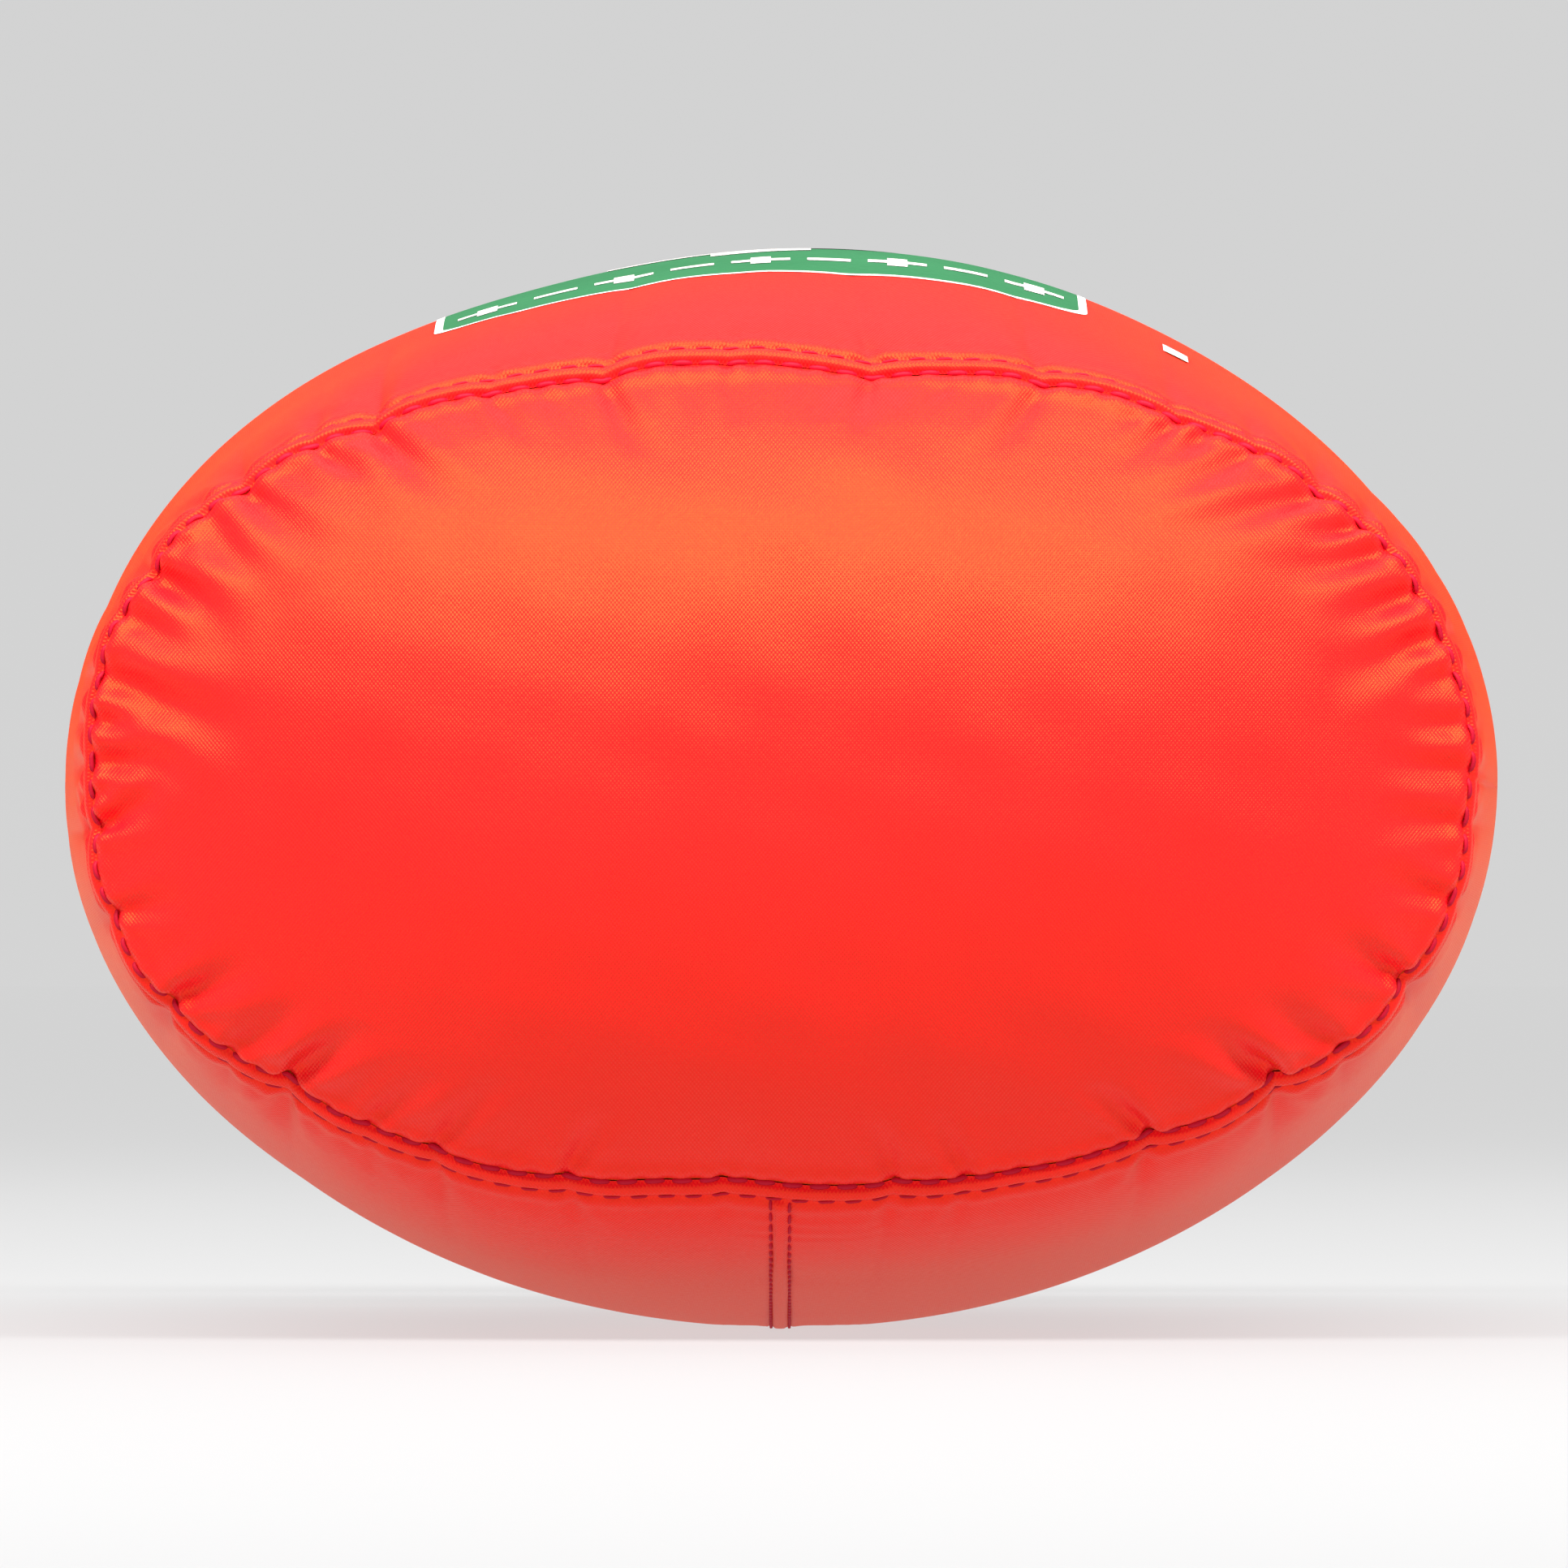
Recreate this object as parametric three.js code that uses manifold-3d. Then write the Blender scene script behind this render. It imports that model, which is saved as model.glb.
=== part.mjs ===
// Roll-top first aid bag, packed with its contents. Millimetres, +Z up.
// The bag lies on its back: the sewn oval base faces -Y, the printed front faces +Z and the rolled
// mouth, bent into a carrying loop and buckled, is at +Y. The origin is on the floor, under the
// middle of the bag's length.

import * as THREE from "three";
import { mergeVertices } from "three/addons/utils/BufferGeometryUtils.js";
import Module from "manifold-3d";

const wasm = await Module();
wasm.setup();

// ---------------------------------------------------------------- driving dimensions
const GAP = 0.3; // clearance between touching pieces

// Bag body. "Seam" is the base seam, "girth" the fullest section.
const SEAM_WIDTH = 181;
const SEAM_HEIGHT = 109;
const SEAM_SQUARENESS = 2.4; // superellipse exponent of the base seam
const SEAM_CENTRE_Z = 71.5;
const GIRTH_WIDTH = 185;
const GIRTH_HEIGHT = 140;
const BODY_LENGTH = 200; // from the base seam to the middle of the roll
const GIRTH_Y = BODY_LENGTH * 0.4; // from the base seam to the fullest section
const FLOOR_SAG = 1.5; // how far the resting bag is flattened by the floor
const BASE_DOME = 26; // how far the filled base bulges out
const DOME_POWER = 2.2; // how flat the base's middle is
const FLARE_SHARE = 0.55; // how soon the wall swells from the seam towards the girth
const FLARE_RUN = 14.4; // depth over which it does so
const SHOULDER_SHARE = 0.38; // how long the wall stays full past the girth
const FABRIC = 1.0; // wall of coated fabric with its seam allowance
const TAPE = 0.4; // heat-sealed seam tape
const BASE_TAPE_STATIONS = [0.05, 0.1825, 0.315]; // along the wall, 0 at the seam, 1 at the girth
const BACK_TAPE_WIDTH = 20;
const BACK_TAPE_STATIONS = [0.42, 1.7];
const PRINT_WIDTH = 84; // printed field on the front
const PRINT_STATIONS = [0.47, 1.36];
const NECK_HALF_GAP = 2.6; // half the height of the flattened neck under the roll

// Rolled mouth.
const WEBBING_WIDTH = 20;
const WEBBING_THICKNESS = 1.4;
const WEBBING_TAPER = 4; // over which the two layers part, from the roll's end on
const STRIP_OVERHANG = 1; // the strip stands out past each edge of the webbing
const STRIP_WIDTH = WEBBING_WIDTH + 2 * STRIP_OVERHANG;
const STRIP_THICKNESS = 1.2;
const STRIP_END = 1; // the strip stops this far inside the roll's ends
const ROLL_TURNS = 2;
const ROLL_PITCH = 1.5; // one layer of folded fabric and the air behind it
const ROLL_SHEET = 1.1;
const ROLL_LENGTH = 256; // along the roll, end to end
const ROLL_OPEN_SPAN = 78; // between the roll's two ends, filled by webbing and buckle
const ROLL_TAIL = 10; // straight end that takes the webbing
const ROLL_Z = 70;
const NECK_DROP = 8; // neck below the middle of the roll
const NECK_SQUARENESS = 24; // how square the flattened neck's two ends are
const NECK_WRAP = 1.15; // how far the neck follows the roll's half turns, in radians
const NECK_RUN = 16; // how far the neck runs straight towards the roll

// Side release buckle for 20 mm webbing, along X, width along Z, thickness along Y.
const BUCKLE_RAIL = 3; // beside each webbing slot
const BUCKLE_WIDTH = WEBBING_WIDTH + 2 * BUCKLE_RAIL;
const BUCKLE_THICKNESS = 8.4;
const BUCKLE_BEVEL = 0.8;
const BUCKLE_CORNER = 2.4;
const FEMALE_END = -27;
const FEMALE_MOUTH = 6;
const MALE_END = 25;
const BAR = 3; // webbing bar, along X
const BAR_THICKNESS = 3.2;
const SLOT = 4; // webbing slot beside each bar
const SOCKET_DEPTH = 21;
const SOCKET_HEIGHT = 5.4;
const SIDE_WALL = 2.6;
const TONGUE_LENGTH = 14;
const TONGUE_WIDTH = 5;
const TONGUE_THICKNESS = 2.4;
const PRONG_THICKNESS = 2;
const PRONG_HEIGHT = 3;
const PRONG_HEAD = 7.2; // length of the catch in its window
const PRONG_REACH = 19.2; // from the male body to the tip
const PRONG_SIDE_GAP = 1.6; // room that a prong bends into
const WINDOW_CLEARANCE = 0.4; // round the catch

// D ring on the female side webbing.
const RING_WIRE = 3;
const RING_CLEARANCE = 0.7; // at each edge of the webbing
const RING_INNER_WIDTH = WEBBING_WIDTH + 2 * RING_CLEARANCE;
const RING_REACH = 15;
const RING_CORNER = 5;
const RING_FOOT_CORNER = 2;

// Contents. Packet sizes are [width, length, height].
const PACK_Y = BODY_LENGTH * 0.3; // middle of the packed contents
const PACK_LENGTH = BODY_LENGTH * 0.35; // of the blanket and bandages, the longest of them
const PACK_BOTTOM = 13; // lowest layer, where the wall is wide enough for it
const SIDE_GAP = 1.2; // between neighbours in one layer
const BANDAGE_DIAMETER = 42;
const BANDAGE_LENGTH = PACK_LENGTH;
const BANDAGE_CORE = 3;
const TAPE_ROLL_DIAMETER = 40;
const TAPE_ROLL_WIDTH = 25;
const SPOOL_BORE = 18;
const SPOOL_WALL = 1.5;
const SPOOL_FLANGE = 1.2;
const BLANKET = [100, PACK_LENGTH, 22];
const TRIANGULAR = [92, PACK_LENGTH - 6, 22];
const DRESSING = [50, PACK_LENGTH + 8, 7];
const DRESSING_COUNT = 3;
const WIPES = [BODY_LENGTH * 0.26, 40, 9]; // fills the taper past the triangular bandage
const GLOVES = [84, 26, 20];
const LEAFLET = [118, 92, 1.6];
const PLASTERS = [66, 22, 5];
const WALLET_CARD = 0.8;
const SCISSOR_BLADE = 50; // pivot to tip
const SCISSOR_HANDLE = 42; // pivot to the middle of the finger ring
const SCISSOR_PLATE = 2;
const SCISSOR_RING = [9, 12]; // inner half axes of a finger ring
const SCISSOR_RING_WALL = 3;
const RIVET_DIAMETER = 3;
const RIVET_HEAD = 1;
const TWEEZER_LENGTH = 82;
const TWEEZER_WIDTH = 8;
const TWEEZER_STEEL = 1;
const TWEEZER_OPENING = 10;
const TWEEZER_JOIN = 10; // closed end, where the arms lie flat on each other
const PIN_LENGTH = 36;
const PIN_WIRE = 1.2;
const PIN_WIDTH = 8;
const PIN_PITCH = 12;
const PIN_COUNT = 3;

// Fineness of the faceted surfaces.
const AROUND = 56;
const ALONG_BASE = 7;
const ALONG_TOP = 12;

// ---------------------------------------------------------------- mesh helpers
const vec = (x, y, z) => new THREE.Vector3(x, y, z);

// A closed geometry from points and triangles, turned so that its faces point out.
function closedGeometry(points, triangles) {
  const corner = (i) => points[triangles[i]];
  let volume = 0;
  for (let i = 0; i < triangles.length; i += 3) {
    const normal = new THREE.Vector3().crossVectors(corner(i + 1), corner(i + 2));
    volume += corner(i).dot(normal);
  }
  if (volume < 0) triangles.reverse();
  const geometry = new THREE.BufferGeometry().setFromPoints(points);
  geometry.setIndex(triangles);
  return geometry;
}

// Joins rings of equal length. `loop` joins the last ring to the first one; otherwise each end is
// closed with flat triangles, or with a fan to a pole point where one is given.
function loft(rings, { loop = false, startPole = null, endPole = null } = {}) {
  const count = rings[0].length;
  const points = rings.flat();
  const triangles = [];
  const last = loop ? rings.length : rings.length - 1;
  for (let r = 0; r < last; r++) {
    const here = r * count;
    const next = ((r + 1) % rings.length) * count;
    for (let i = 0; i < count; i++) {
      const j = (i + 1) % count;
      triangles.push(here + i, here + j, next + j, here + i, next + j, next + i);
    }
  }
  if (!loop) {
    closeEnd(points, triangles, rings[0], 0, startPole, true);
    closeEnd(points, triangles, rings.at(-1), (rings.length - 1) * count, endPole, false);
  }
  return closedGeometry(points, triangles);
}

function closeEnd(points, triangles, ring, first, pole, flip) {
  const add = (a, b, c) => (flip ? triangles.push(c, b, a) : triangles.push(a, b, c));
  if (pole) {
    points.push(pole);
    ring.forEach((_, i) => add(first + i, first + ((i + 1) % ring.length), points.length - 1));
    return;
  }
  const centre = ring.reduce((sum, p) => sum.add(p), vec(0, 0, 0)).divideScalar(ring.length);
  const normal = vec(0, 0, 0);
  ring.forEach((p, i) => {
    const q = ring[(i + 1) % ring.length];
    normal.add(new THREE.Vector3().crossVectors(p.clone().sub(centre), q.clone().sub(centre)));
  });
  normal.normalize();
  const helper = Math.abs(normal.z) < 0.9 ? vec(0, 0, 1) : vec(1, 0, 0);
  const u = new THREE.Vector3().crossVectors(helper, normal).normalize();
  const v = new THREE.Vector3().crossVectors(normal, u);
  const flat = ring.map((p) => new THREE.Vector2(p.dot(u), p.dot(v)));
  for (const [a, b, c] of THREE.ShapeUtils.triangulateShape(flat, [])) {
    add(first + a, first + b, first + c);
  }
}

// Closed loop of round wire along points in a plane with the given normal.
function wireLoop(centre, normal, diameter, sides) {
  const rings = centre.map((point, i) => {
    const before = centre[(i + centre.length - 1) % centre.length];
    const after = centre[(i + 1) % centre.length];
    const tangent = after.clone().sub(before).normalize();
    const across = new THREE.Vector3().crossVectors(tangent, normal).normalize();
    return [...Array(sides).keys()].map((k) => {
      const angle = ((k + 0.5) / sides) * 2 * Math.PI; // flats, not edges, face the neighbours
      const out = point.clone().addScaledVector(across, (Math.cos(angle) * diameter) / 2);
      return out.addScaledVector(normal, (Math.sin(angle) * diameter) / 2);
    });
  });
  return loft(rings, { loop: true });
}

// Shares corners between a geometry's faces and turns them out, as mirrored pieces need.
function closedCopy(geometry) {
  const merged = mergeVertices(bareCopy(geometry), 1e-4);
  const flat = merged.getAttribute("position");
  const points = [];
  for (let i = 0; i < flat.count; i++) points.push(new THREE.Vector3().fromBufferAttribute(flat, i));
  return closedGeometry(points, Array.from(merged.index.array));
}

// The same geometry with nothing but positions.
function bareCopy(geometry) {
  const bare = new THREE.BufferGeometry();
  bare.setAttribute("position", geometry.getAttribute("position"));
  if (geometry.index) bare.setIndex(geometry.index);
  return bare;
}

// manifold-3d solid of a geometry, and back.
function solid(geometry) {
  const merged = mergeVertices(bareCopy(geometry), 1e-4);
  return new wasm.Manifold(
    new wasm.Mesh({
      numProp: 3,
      vertProperties: new Float32Array(merged.attributes.position.array),
      triVerts: new Uint32Array(merged.index.array),
    }),
  );
}

function geometryOf(manifold) {
  const made = manifold.getMesh();
  const geometry = new THREE.BufferGeometry();
  geometry.setAttribute("position", new THREE.BufferAttribute(made.vertProperties, 3));
  geometry.setIndex(new THREE.BufferAttribute(made.triVerts, 1));
  return geometry;
}

// Box between two corners.
function block(low, high) {
  const size = high.map((value, i) => value - low[i]);
  const geometry = new THREE.BoxGeometry(...size);
  return geometry.translate(...low.map((value, i) => value + size[i] / 2));
}

// Rectangle in X and Y with rounded corners.
function roundedRectangle(width, height, radius) {
  const shape = new THREE.Shape();
  const x = width / 2;
  const y = height / 2;
  shape.moveTo(-x + radius, -y);
  shape.lineTo(x - radius, -y);
  shape.absarc(x - radius, -y + radius, radius, -Math.PI / 2, 0);
  shape.absarc(x - radius, y - radius, radius, 0, Math.PI / 2);
  shape.absarc(-x + radius, y - radius, radius, Math.PI / 2, Math.PI);
  shape.absarc(-x + radius, -y + radius, radius, Math.PI, 1.5 * Math.PI);
  return shape;
}

// Soft packet of the given outer size, centred on the origin, with its edges rounded off.
function packet([width, length, height], corner, edge) {
  const shape = roundedRectangle(width - 2 * edge, length - 2 * edge, corner);
  const geometry = new THREE.ExtrudeGeometry(shape, {
    depth: height - 2 * edge,
    bevelSize: edge,
    bevelThickness: edge,
    bevelSegments: 2,
    curveSegments: 3,
  });
  return geometry.translate(0, 0, edge - height / 2);
}

// Plate of a shape drawn in X and Y, from z = 0 up.
const plate = (shape, thickness, curveSegments = 8) =>
  new THREE.ExtrudeGeometry(shape, { depth: thickness, bevelEnabled: false, curveSegments });

// Turned piece about Z from a closed [radius, height] profile.
function turned(profile, segments = 24) {
  const points = profile.map(([r, z]) => new THREE.Vector2(r, z));
  const geometry = new THREE.LatheGeometry(points, segments);
  return geometry.rotateX(Math.PI / 2);
}

// ---------------------------------------------------------------- materials
const material = (color, roughness, metalness = 0) =>
  new THREE.MeshStandardMaterial({ color, roughness, metalness });

const MATERIALS = {
  fabric: material(0xf5341f, 0.5),
  tape: material(0xd8d8d2, 0.6),
  print: material(0x2f9a5a, 0.55),
  strip: material(0x3a3c40, 0.5),
  webbing: material(0x1d1e20, 0.8),
  plastic: material(0x17181a, 0.45),
  elastic: material(0xe3cfae, 0.9),
  cotton: material(0xf1efe8, 0.95),
  foil: material(0xc9b26a, 0.25, 0.9),
  paper: material(0xf4f4f0, 0.8),
  wrapper: material(0xdfe9f2, 0.5),
  nitrile: material(0x5d86c4, 0.6),
  steel: material(0xb9bdc2, 0.25, 1),
  plaster: material(0xd9a77f, 0.8),
  spool: material(0xc98f66, 0.5),
};

const bag = new THREE.Group();

function add(name, slot, geometry, parent = bag) {
  const mesh = new THREE.Mesh(geometry, MATERIALS[slot].clone());
  mesh.name = name;
  parent.add(mesh);
  return mesh;
}

// ---------------------------------------------------------------- carrying loop
// Centre line of the roll in X and Y: straight across the neck, a half turn at each side, and a
// short straight tail that points at the buckle.
const TAIL_X = ROLL_OPEN_SPAN / 2; // where the roll ends
const TURN_X = TAIL_X + ROLL_TAIL; // where the half turns start and end
const TURN_RADIUS = (ROLL_LENGTH / 2 - TURN_X - ROLL_TAIL) / Math.PI;
const LOOP_Y = BODY_LENGTH + 2 * TURN_RADIUS; // middle of webbing and buckle
const CORE_HALF = STRIP_THICKNESS / 2 + 2 * GAP + WEBBING_THICKNESS;
const CORE_SPAN = STRIP_WIDTH / 2 + GAP - CORE_HALF / 2; // straight half length of the core, in Z
const ROLL_HALF = CORE_HALF + ROLL_SHEET + ROLL_TURNS * ROLL_PITCH; // outer half thickness

// Point and inward direction at a signed distance along the loop from its middle.
function loopAt(distance, outward = 0) {
  const side = Math.sign(distance) || 1;
  const travel = Math.abs(distance);
  const turn = Math.PI * TURN_RADIUS;
  let x = travel;
  let y = BODY_LENGTH;
  let angle = 0; // how far the path has turned
  if (travel > TURN_X) {
    angle = Math.min((travel - TURN_X) / TURN_RADIUS, Math.PI);
    x = TURN_X + TURN_RADIUS * Math.sin(angle) - Math.max(travel - TURN_X - turn, 0);
    y = BODY_LENGTH + TURN_RADIUS * (1 - Math.cos(angle));
  }
  const inward = new THREE.Vector2(-side * Math.sin(angle), Math.cos(angle));
  return {
    x: side * x - inward.x * outward,
    y: y - inward.y * outward,
    inward,
  };
}

// Stations along the loop between two distances, finer in the turns.
function loopStations(from, to, turnSteps = 12) {
  const marks = [from];
  const turn = Math.PI * TURN_RADIUS;
  for (const side of [-1, 1]) {
    for (let i = 0; i <= turnSteps; i++) marks.push(side * (TURN_X + (turn * i) / turnSteps));
  }
  marks.push(to);
  const kept = marks.filter((d) => d >= from && d <= to).sort((a, b) => a - b);
  return kept.filter((d, i) => i === 0 || d - kept[i - 1] > 1e-6);
}

// Sweeps a section, drawn as [towards the loop's middle, Z], along the loop.
function sweepLoop(section, from, to) {
  const rings = loopStations(from, to).map((distance) => {
    const { x, y, inward } = loopAt(distance);
    return section.map(([n, z]) => vec(x + inward.x * n, y + inward.y * n, ROLL_Z + z));
  });
  return loft(rings);
}

// Flattened spiral of the rolled mouth: both faces of one sheet, wound ROLL_TURNS times.
function spiralSection() {
  const steps = 4; // facets in each rounded edge
  const face = (offset) => {
    const points = [];
    for (let half = 0; half < 2 * ROLL_TURNS; half++) {
      const side = half % 2 === 0 ? 1 : -1;
      for (let k = 0; k <= steps; k++) {
        const turns = (half + k / steps) / 2;
        const angle = turns * 2 * Math.PI;
        const radius = CORE_HALF + ROLL_SHEET / 2 + ROLL_PITCH * turns + offset;
        points.push([-Math.cos(angle) * radius, side * CORE_SPAN + Math.sin(angle) * radius]);
      }
    }
    return points;
  };
  return [...face(ROLL_SHEET / 2), ...face(-ROLL_SHEET / 2).reverse()];
}

// ---------------------------------------------------------------- bag body surface
const SEAM_HALF_X = SEAM_WIDTH / 2;
const SEAM_HALF_Z = SEAM_HEIGHT / 2;
const GIRTH_HALF_X = GIRTH_WIDTH / 2;
const GIRTH_HALF_Z = GIRTH_HEIGHT / 2;

function superellipse(angle, halfX, halfZ, squareness) {
  const c = Math.cos(angle);
  const s = Math.sin(angle);
  const power = 2 / squareness;
  return [
    halfX * Math.sign(c) * Math.abs(c) ** power,
    halfZ * Math.sign(s) * Math.abs(s) ** power,
  ];
}

// Where the front and back fabric meet the underside of the roll.
function mouthPoint(angle) {
  const top = Math.sin(angle) >= 0;
  const folded = top ? angle : 2 * Math.PI - angle;
  const share = 1 - (2 * folded) / Math.PI; // 1 at +X, -1 at -X
  const rounded = Math.sqrt(Math.max(0, 1 - Math.abs(share) ** NECK_SQUARENESS));
  const reach = TURN_X + TURN_RADIUS * NECK_WRAP;
  const at = loopAt(share * reach, ROLL_HALF + 3 * GAP);
  const z = ROLL_Z - NECK_DROP + (top ? 1 : -1) * NECK_HALF_GAP * rounded;
  return { point: vec(at.x, at.y, z), inward: at.inward };
}

function bezier(a, b, c, d, t) {
  const u = 1 - t;
  const point = a.clone().multiplyScalar(u * u * u);
  point.addScaledVector(b, 3 * u * u * t);
  point.addScaledVector(c, 3 * u * t * t);
  return point.addScaledVector(d, t * t * t);
}

// Outer surface of the wall. `angle` runs round the bag from +X over the front; `along` runs from
// 0 at the base seam, through 1 at the girth, to 2 at the mouth.
function wallSurface(angle, along) {
  const [gx, gz] = superellipse(angle, GIRTH_HALF_X, GIRTH_HALF_Z, 2);
  const bottom = gz < 0 ? 1 + FLOOR_SAG / GIRTH_HALF_Z : 1;
  const girth = vec(gx, GIRTH_Y, GIRTH_HALF_Z + gz * bottom);
  if (along <= 1) {
    const [sx, sz] = superellipse(angle, SEAM_HALF_X, SEAM_HALF_Z, SEAM_SQUARENESS);
    const seam = vec(sx, 0, SEAM_CENTRE_Z + sz);
    const flare = seam.clone().lerp(girth, FLARE_SHARE).setY(FLARE_RUN);
    const level = girth.clone().setY(GIRTH_Y / 2);
    return bezier(seam, flare, level, girth, along);
  }
  const { point: mouth, inward } = mouthPoint(angle);
  const taper = BODY_LENGTH - GIRTH_Y;
  const level = girth.clone().setY(GIRTH_Y + taper * SHOULDER_SHARE);
  const pull = mouth.clone();
  pull.x -= inward.x * NECK_RUN;
  pull.y -= inward.y * NECK_RUN * 2;
  return bezier(girth, level, pull, mouth, along - 1);
}

// The same surface moved inwards by `inset`, and kept off the floor.
function wallAt(angle, along, inset = 0) {
  const step = 1e-3;
  const limit = (value) => Math.min(Math.max(value, 0), 2);
  const point = wallSurface(angle, along);
  const round = wallSurface(angle + step, along).sub(wallSurface(angle - step, along));
  const forward = wallSurface(angle, limit(along + step));
  forward.sub(wallSurface(angle, limit(along - step)));
  const outward = new THREE.Vector3().crossVectors(forward, round).normalize();
  point.addScaledVector(outward, -inset);
  point.z = Math.max(point.z, Math.max(inset, 0));
  return point;
}

const ringAngles = [...Array(AROUND).keys()].map((i) => (i / AROUND) * 2 * Math.PI);
const wallRing = (along, inset) => ringAngles.map((angle) => wallAt(angle, along, inset));
const wallStations = [
  ...[...Array(ALONG_BASE).keys()].map((i) => i / ALONG_BASE),
  ...[...Array(ALONG_TOP + 1).keys()].map((i) => 1 + i / ALONG_TOP),
];

// Thin sheet that follows the wall between two angles and two stations, under or over it.
function wallPatch(angles, alongs, near, far) {
  const rings = alongs.map((along) => [
    ...angles.map((angle) => wallAt(angle, along, near)),
    ...angles.map((angle) => wallAt(angle, along, far)).reverse(),
  ]);
  return loft(rings);
}

// The wall's own stations or angles between two limits, and the limits.
const within = (values, from, to) => [from, ...values.filter((v) => v > from && v < to), to];

// ---------------------------------------------------------------- bag body pieces
function wallPanel() {
  const outside = wallStations.map((along) => wallRing(along, 0));
  const inside = wallStations.map((along) => wallRing(along, FABRIC));
  return loft([...outside, ...inside.reverse()], { loop: true });
}

// Domed base, sewn to the wall round its rim.
function basePanel() {
  const domeY = (share) => -GAP - BASE_DOME * (1 - share ** DOME_POWER);
  const centre = (y) => vec(0, y, SEAM_CENTRE_Z);
  const rim = ringAngles.map((angle) =>
    superellipse(angle, SEAM_HALF_X, SEAM_HALF_Z, SEAM_SQUARENESS),
  );
  const ring = (share, back) =>
    rim.map(([x, z]) => vec(x * share, domeY(share) + back, SEAM_CENTRE_Z + z * share));
  const shares = [0.25, 0.45, 0.63, 0.79, 0.91, 1];
  const outside = shares.map((share) => ring(share, 0));
  // The rim is as thick as the fabric, measured along the panel's own slope.
  const innerShare = (share) => share * (1 - (FABRIC / SEAM_HALF_Z) * share);
  const inside = shares.map((share) =>
    rim.map(([x, z]) => {
      const s = innerShare(share);
      return vec(x * s, domeY(s) + FABRIC * (1 - share / 2), SEAM_CENTRE_Z + z * s);
    }),
  );
  inside[inside.length - 1] = rim.map(([x, z]) => {
    const s = innerShare(1);
    return vec(x * s, -GAP, SEAM_CENTRE_Z + z * s);
  });
  return loft([...outside, ...inside.reverse()], {
    startPole: centre(domeY(0)),
    endPole: centre(domeY(0) + FABRIC),
  });
}

function baseSeamTape() {
  const near = FABRIC + GAP;
  const outside = BASE_TAPE_STATIONS.map((along) => wallRing(along, near));
  const inside = BASE_TAPE_STATIONS.map((along) => wallRing(along, near + TAPE));
  return loft([...outside, ...inside.reverse()], { loop: true });
}

// Part of the wall's width, `width` wide at the girth and centred on an angle.
function anglesAcross(centre, width) {
  const half = width / 2 / GIRTH_HALF_X;
  return within(ringAngles, centre - half, centre + half);
}

function backSeamTape() {
  const angles = anglesAcross(1.5 * Math.PI, BACK_TAPE_WIDTH);
  const near = FABRIC + GAP;
  return wallPatch(angles, within(wallStations, ...BACK_TAPE_STATIONS), near, near + TAPE);
}

function frontPrint() {
  const angles = anglesAcross(Math.PI / 2, PRINT_WIDTH);
  return wallPatch(angles, within(wallStations, ...PRINT_STATIONS), -GAP - TAPE, -GAP);
}

add("wall_panel", "fabric", wallPanel());
add("base_panel", "fabric", basePanel());
add("base_seam_tape", "tape", baseSeamTape());
add("back_seam_tape", "tape", backSeamTape());
add("front_print", "print", frontPrint());

// ---------------------------------------------------------------- rolled mouth
const section = spiralSection();
const ROLL_END = ROLL_LENGTH / 2;
add("roll_middle", "fabric", sweepLoop(section, -TURN_X + GAP, TURN_X - GAP));
add("roll_left_arm", "fabric", sweepLoop(section, -ROLL_END, -TURN_X));
add("roll_right_arm", "fabric", sweepLoop(section, TURN_X, ROLL_END));

const stripSection = [
  [-STRIP_THICKNESS / 2, -STRIP_WIDTH / 2],
  [STRIP_THICKNESS / 2, -STRIP_WIDTH / 2],
  [STRIP_THICKNESS / 2, STRIP_WIDTH / 2],
  [-STRIP_THICKNESS / 2, STRIP_WIDTH / 2],
];
add("stiffener_strip", "strip", sweepLoop(stripSection, STRIP_END - ROLL_END, ROLL_END - STRIP_END));

// ---------------------------------------------------------------- webbing and buckle
// Everything here is centred on the buckle and moved to the top of the loop at the end.
const buckle = new THREE.Group();
buckle.position.set(0, LOOP_Y, ROLL_Z);
bag.add(buckle);

// One folded length of webbing: its two ends hold the strip inside the roll and its fold goes
// round the buckle's bar at barX. Drawn for the +X side; `side` mirrors it.
function webbingLoop(side, barX) {
  const tight = STRIP_THICKNESS / 2 + GAP;
  const wide = BAR_THICKNESS / 2 + GAP;
  const deep = TAIL_X + ROLL_TAIL - 1;
  const fold = Math.abs(barX) - BAR / 2 - GAP;
  // One layer's face, from inside the roll to the fold; `offset` is 0 or the thickness.
  const face = (offset) => [
    [deep, tight + offset],
    [TAIL_X, tight + offset],
    [TAIL_X - WEBBING_TAPER, wide + offset],
    [fold + GAP, wide + offset],
    [fold - offset, wide - GAP],
  ];
  const mirrored = (points) => points.map(([x, y]) => [x, -y]);
  const outer = face(WEBBING_THICKNESS);
  const inner = face(0);
  const outline = [...outer, ...mirrored(outer).reverse(), ...mirrored(inner), ...inner.reverse()];
  const shape = new THREE.Shape(outline.map(([x, y]) => new THREE.Vector2(side * x, y)));
  const geometry = plate(shape, WEBBING_WIDTH);
  return closedCopy(geometry.translate(0, 0, -WEBBING_WIDTH / 2));
}

const HALF_WIDTH = BUCKLE_WIDTH / 2;
const HALF_THICK = BUCKLE_THICKNESS / 2;
const SOCKET_HALF = HALF_WIDTH - SIDE_WALL;
const RAIL = (BUCKLE_WIDTH - WEBBING_WIDTH) / 2 - 2 * GAP; // beside the webbing slot

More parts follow.
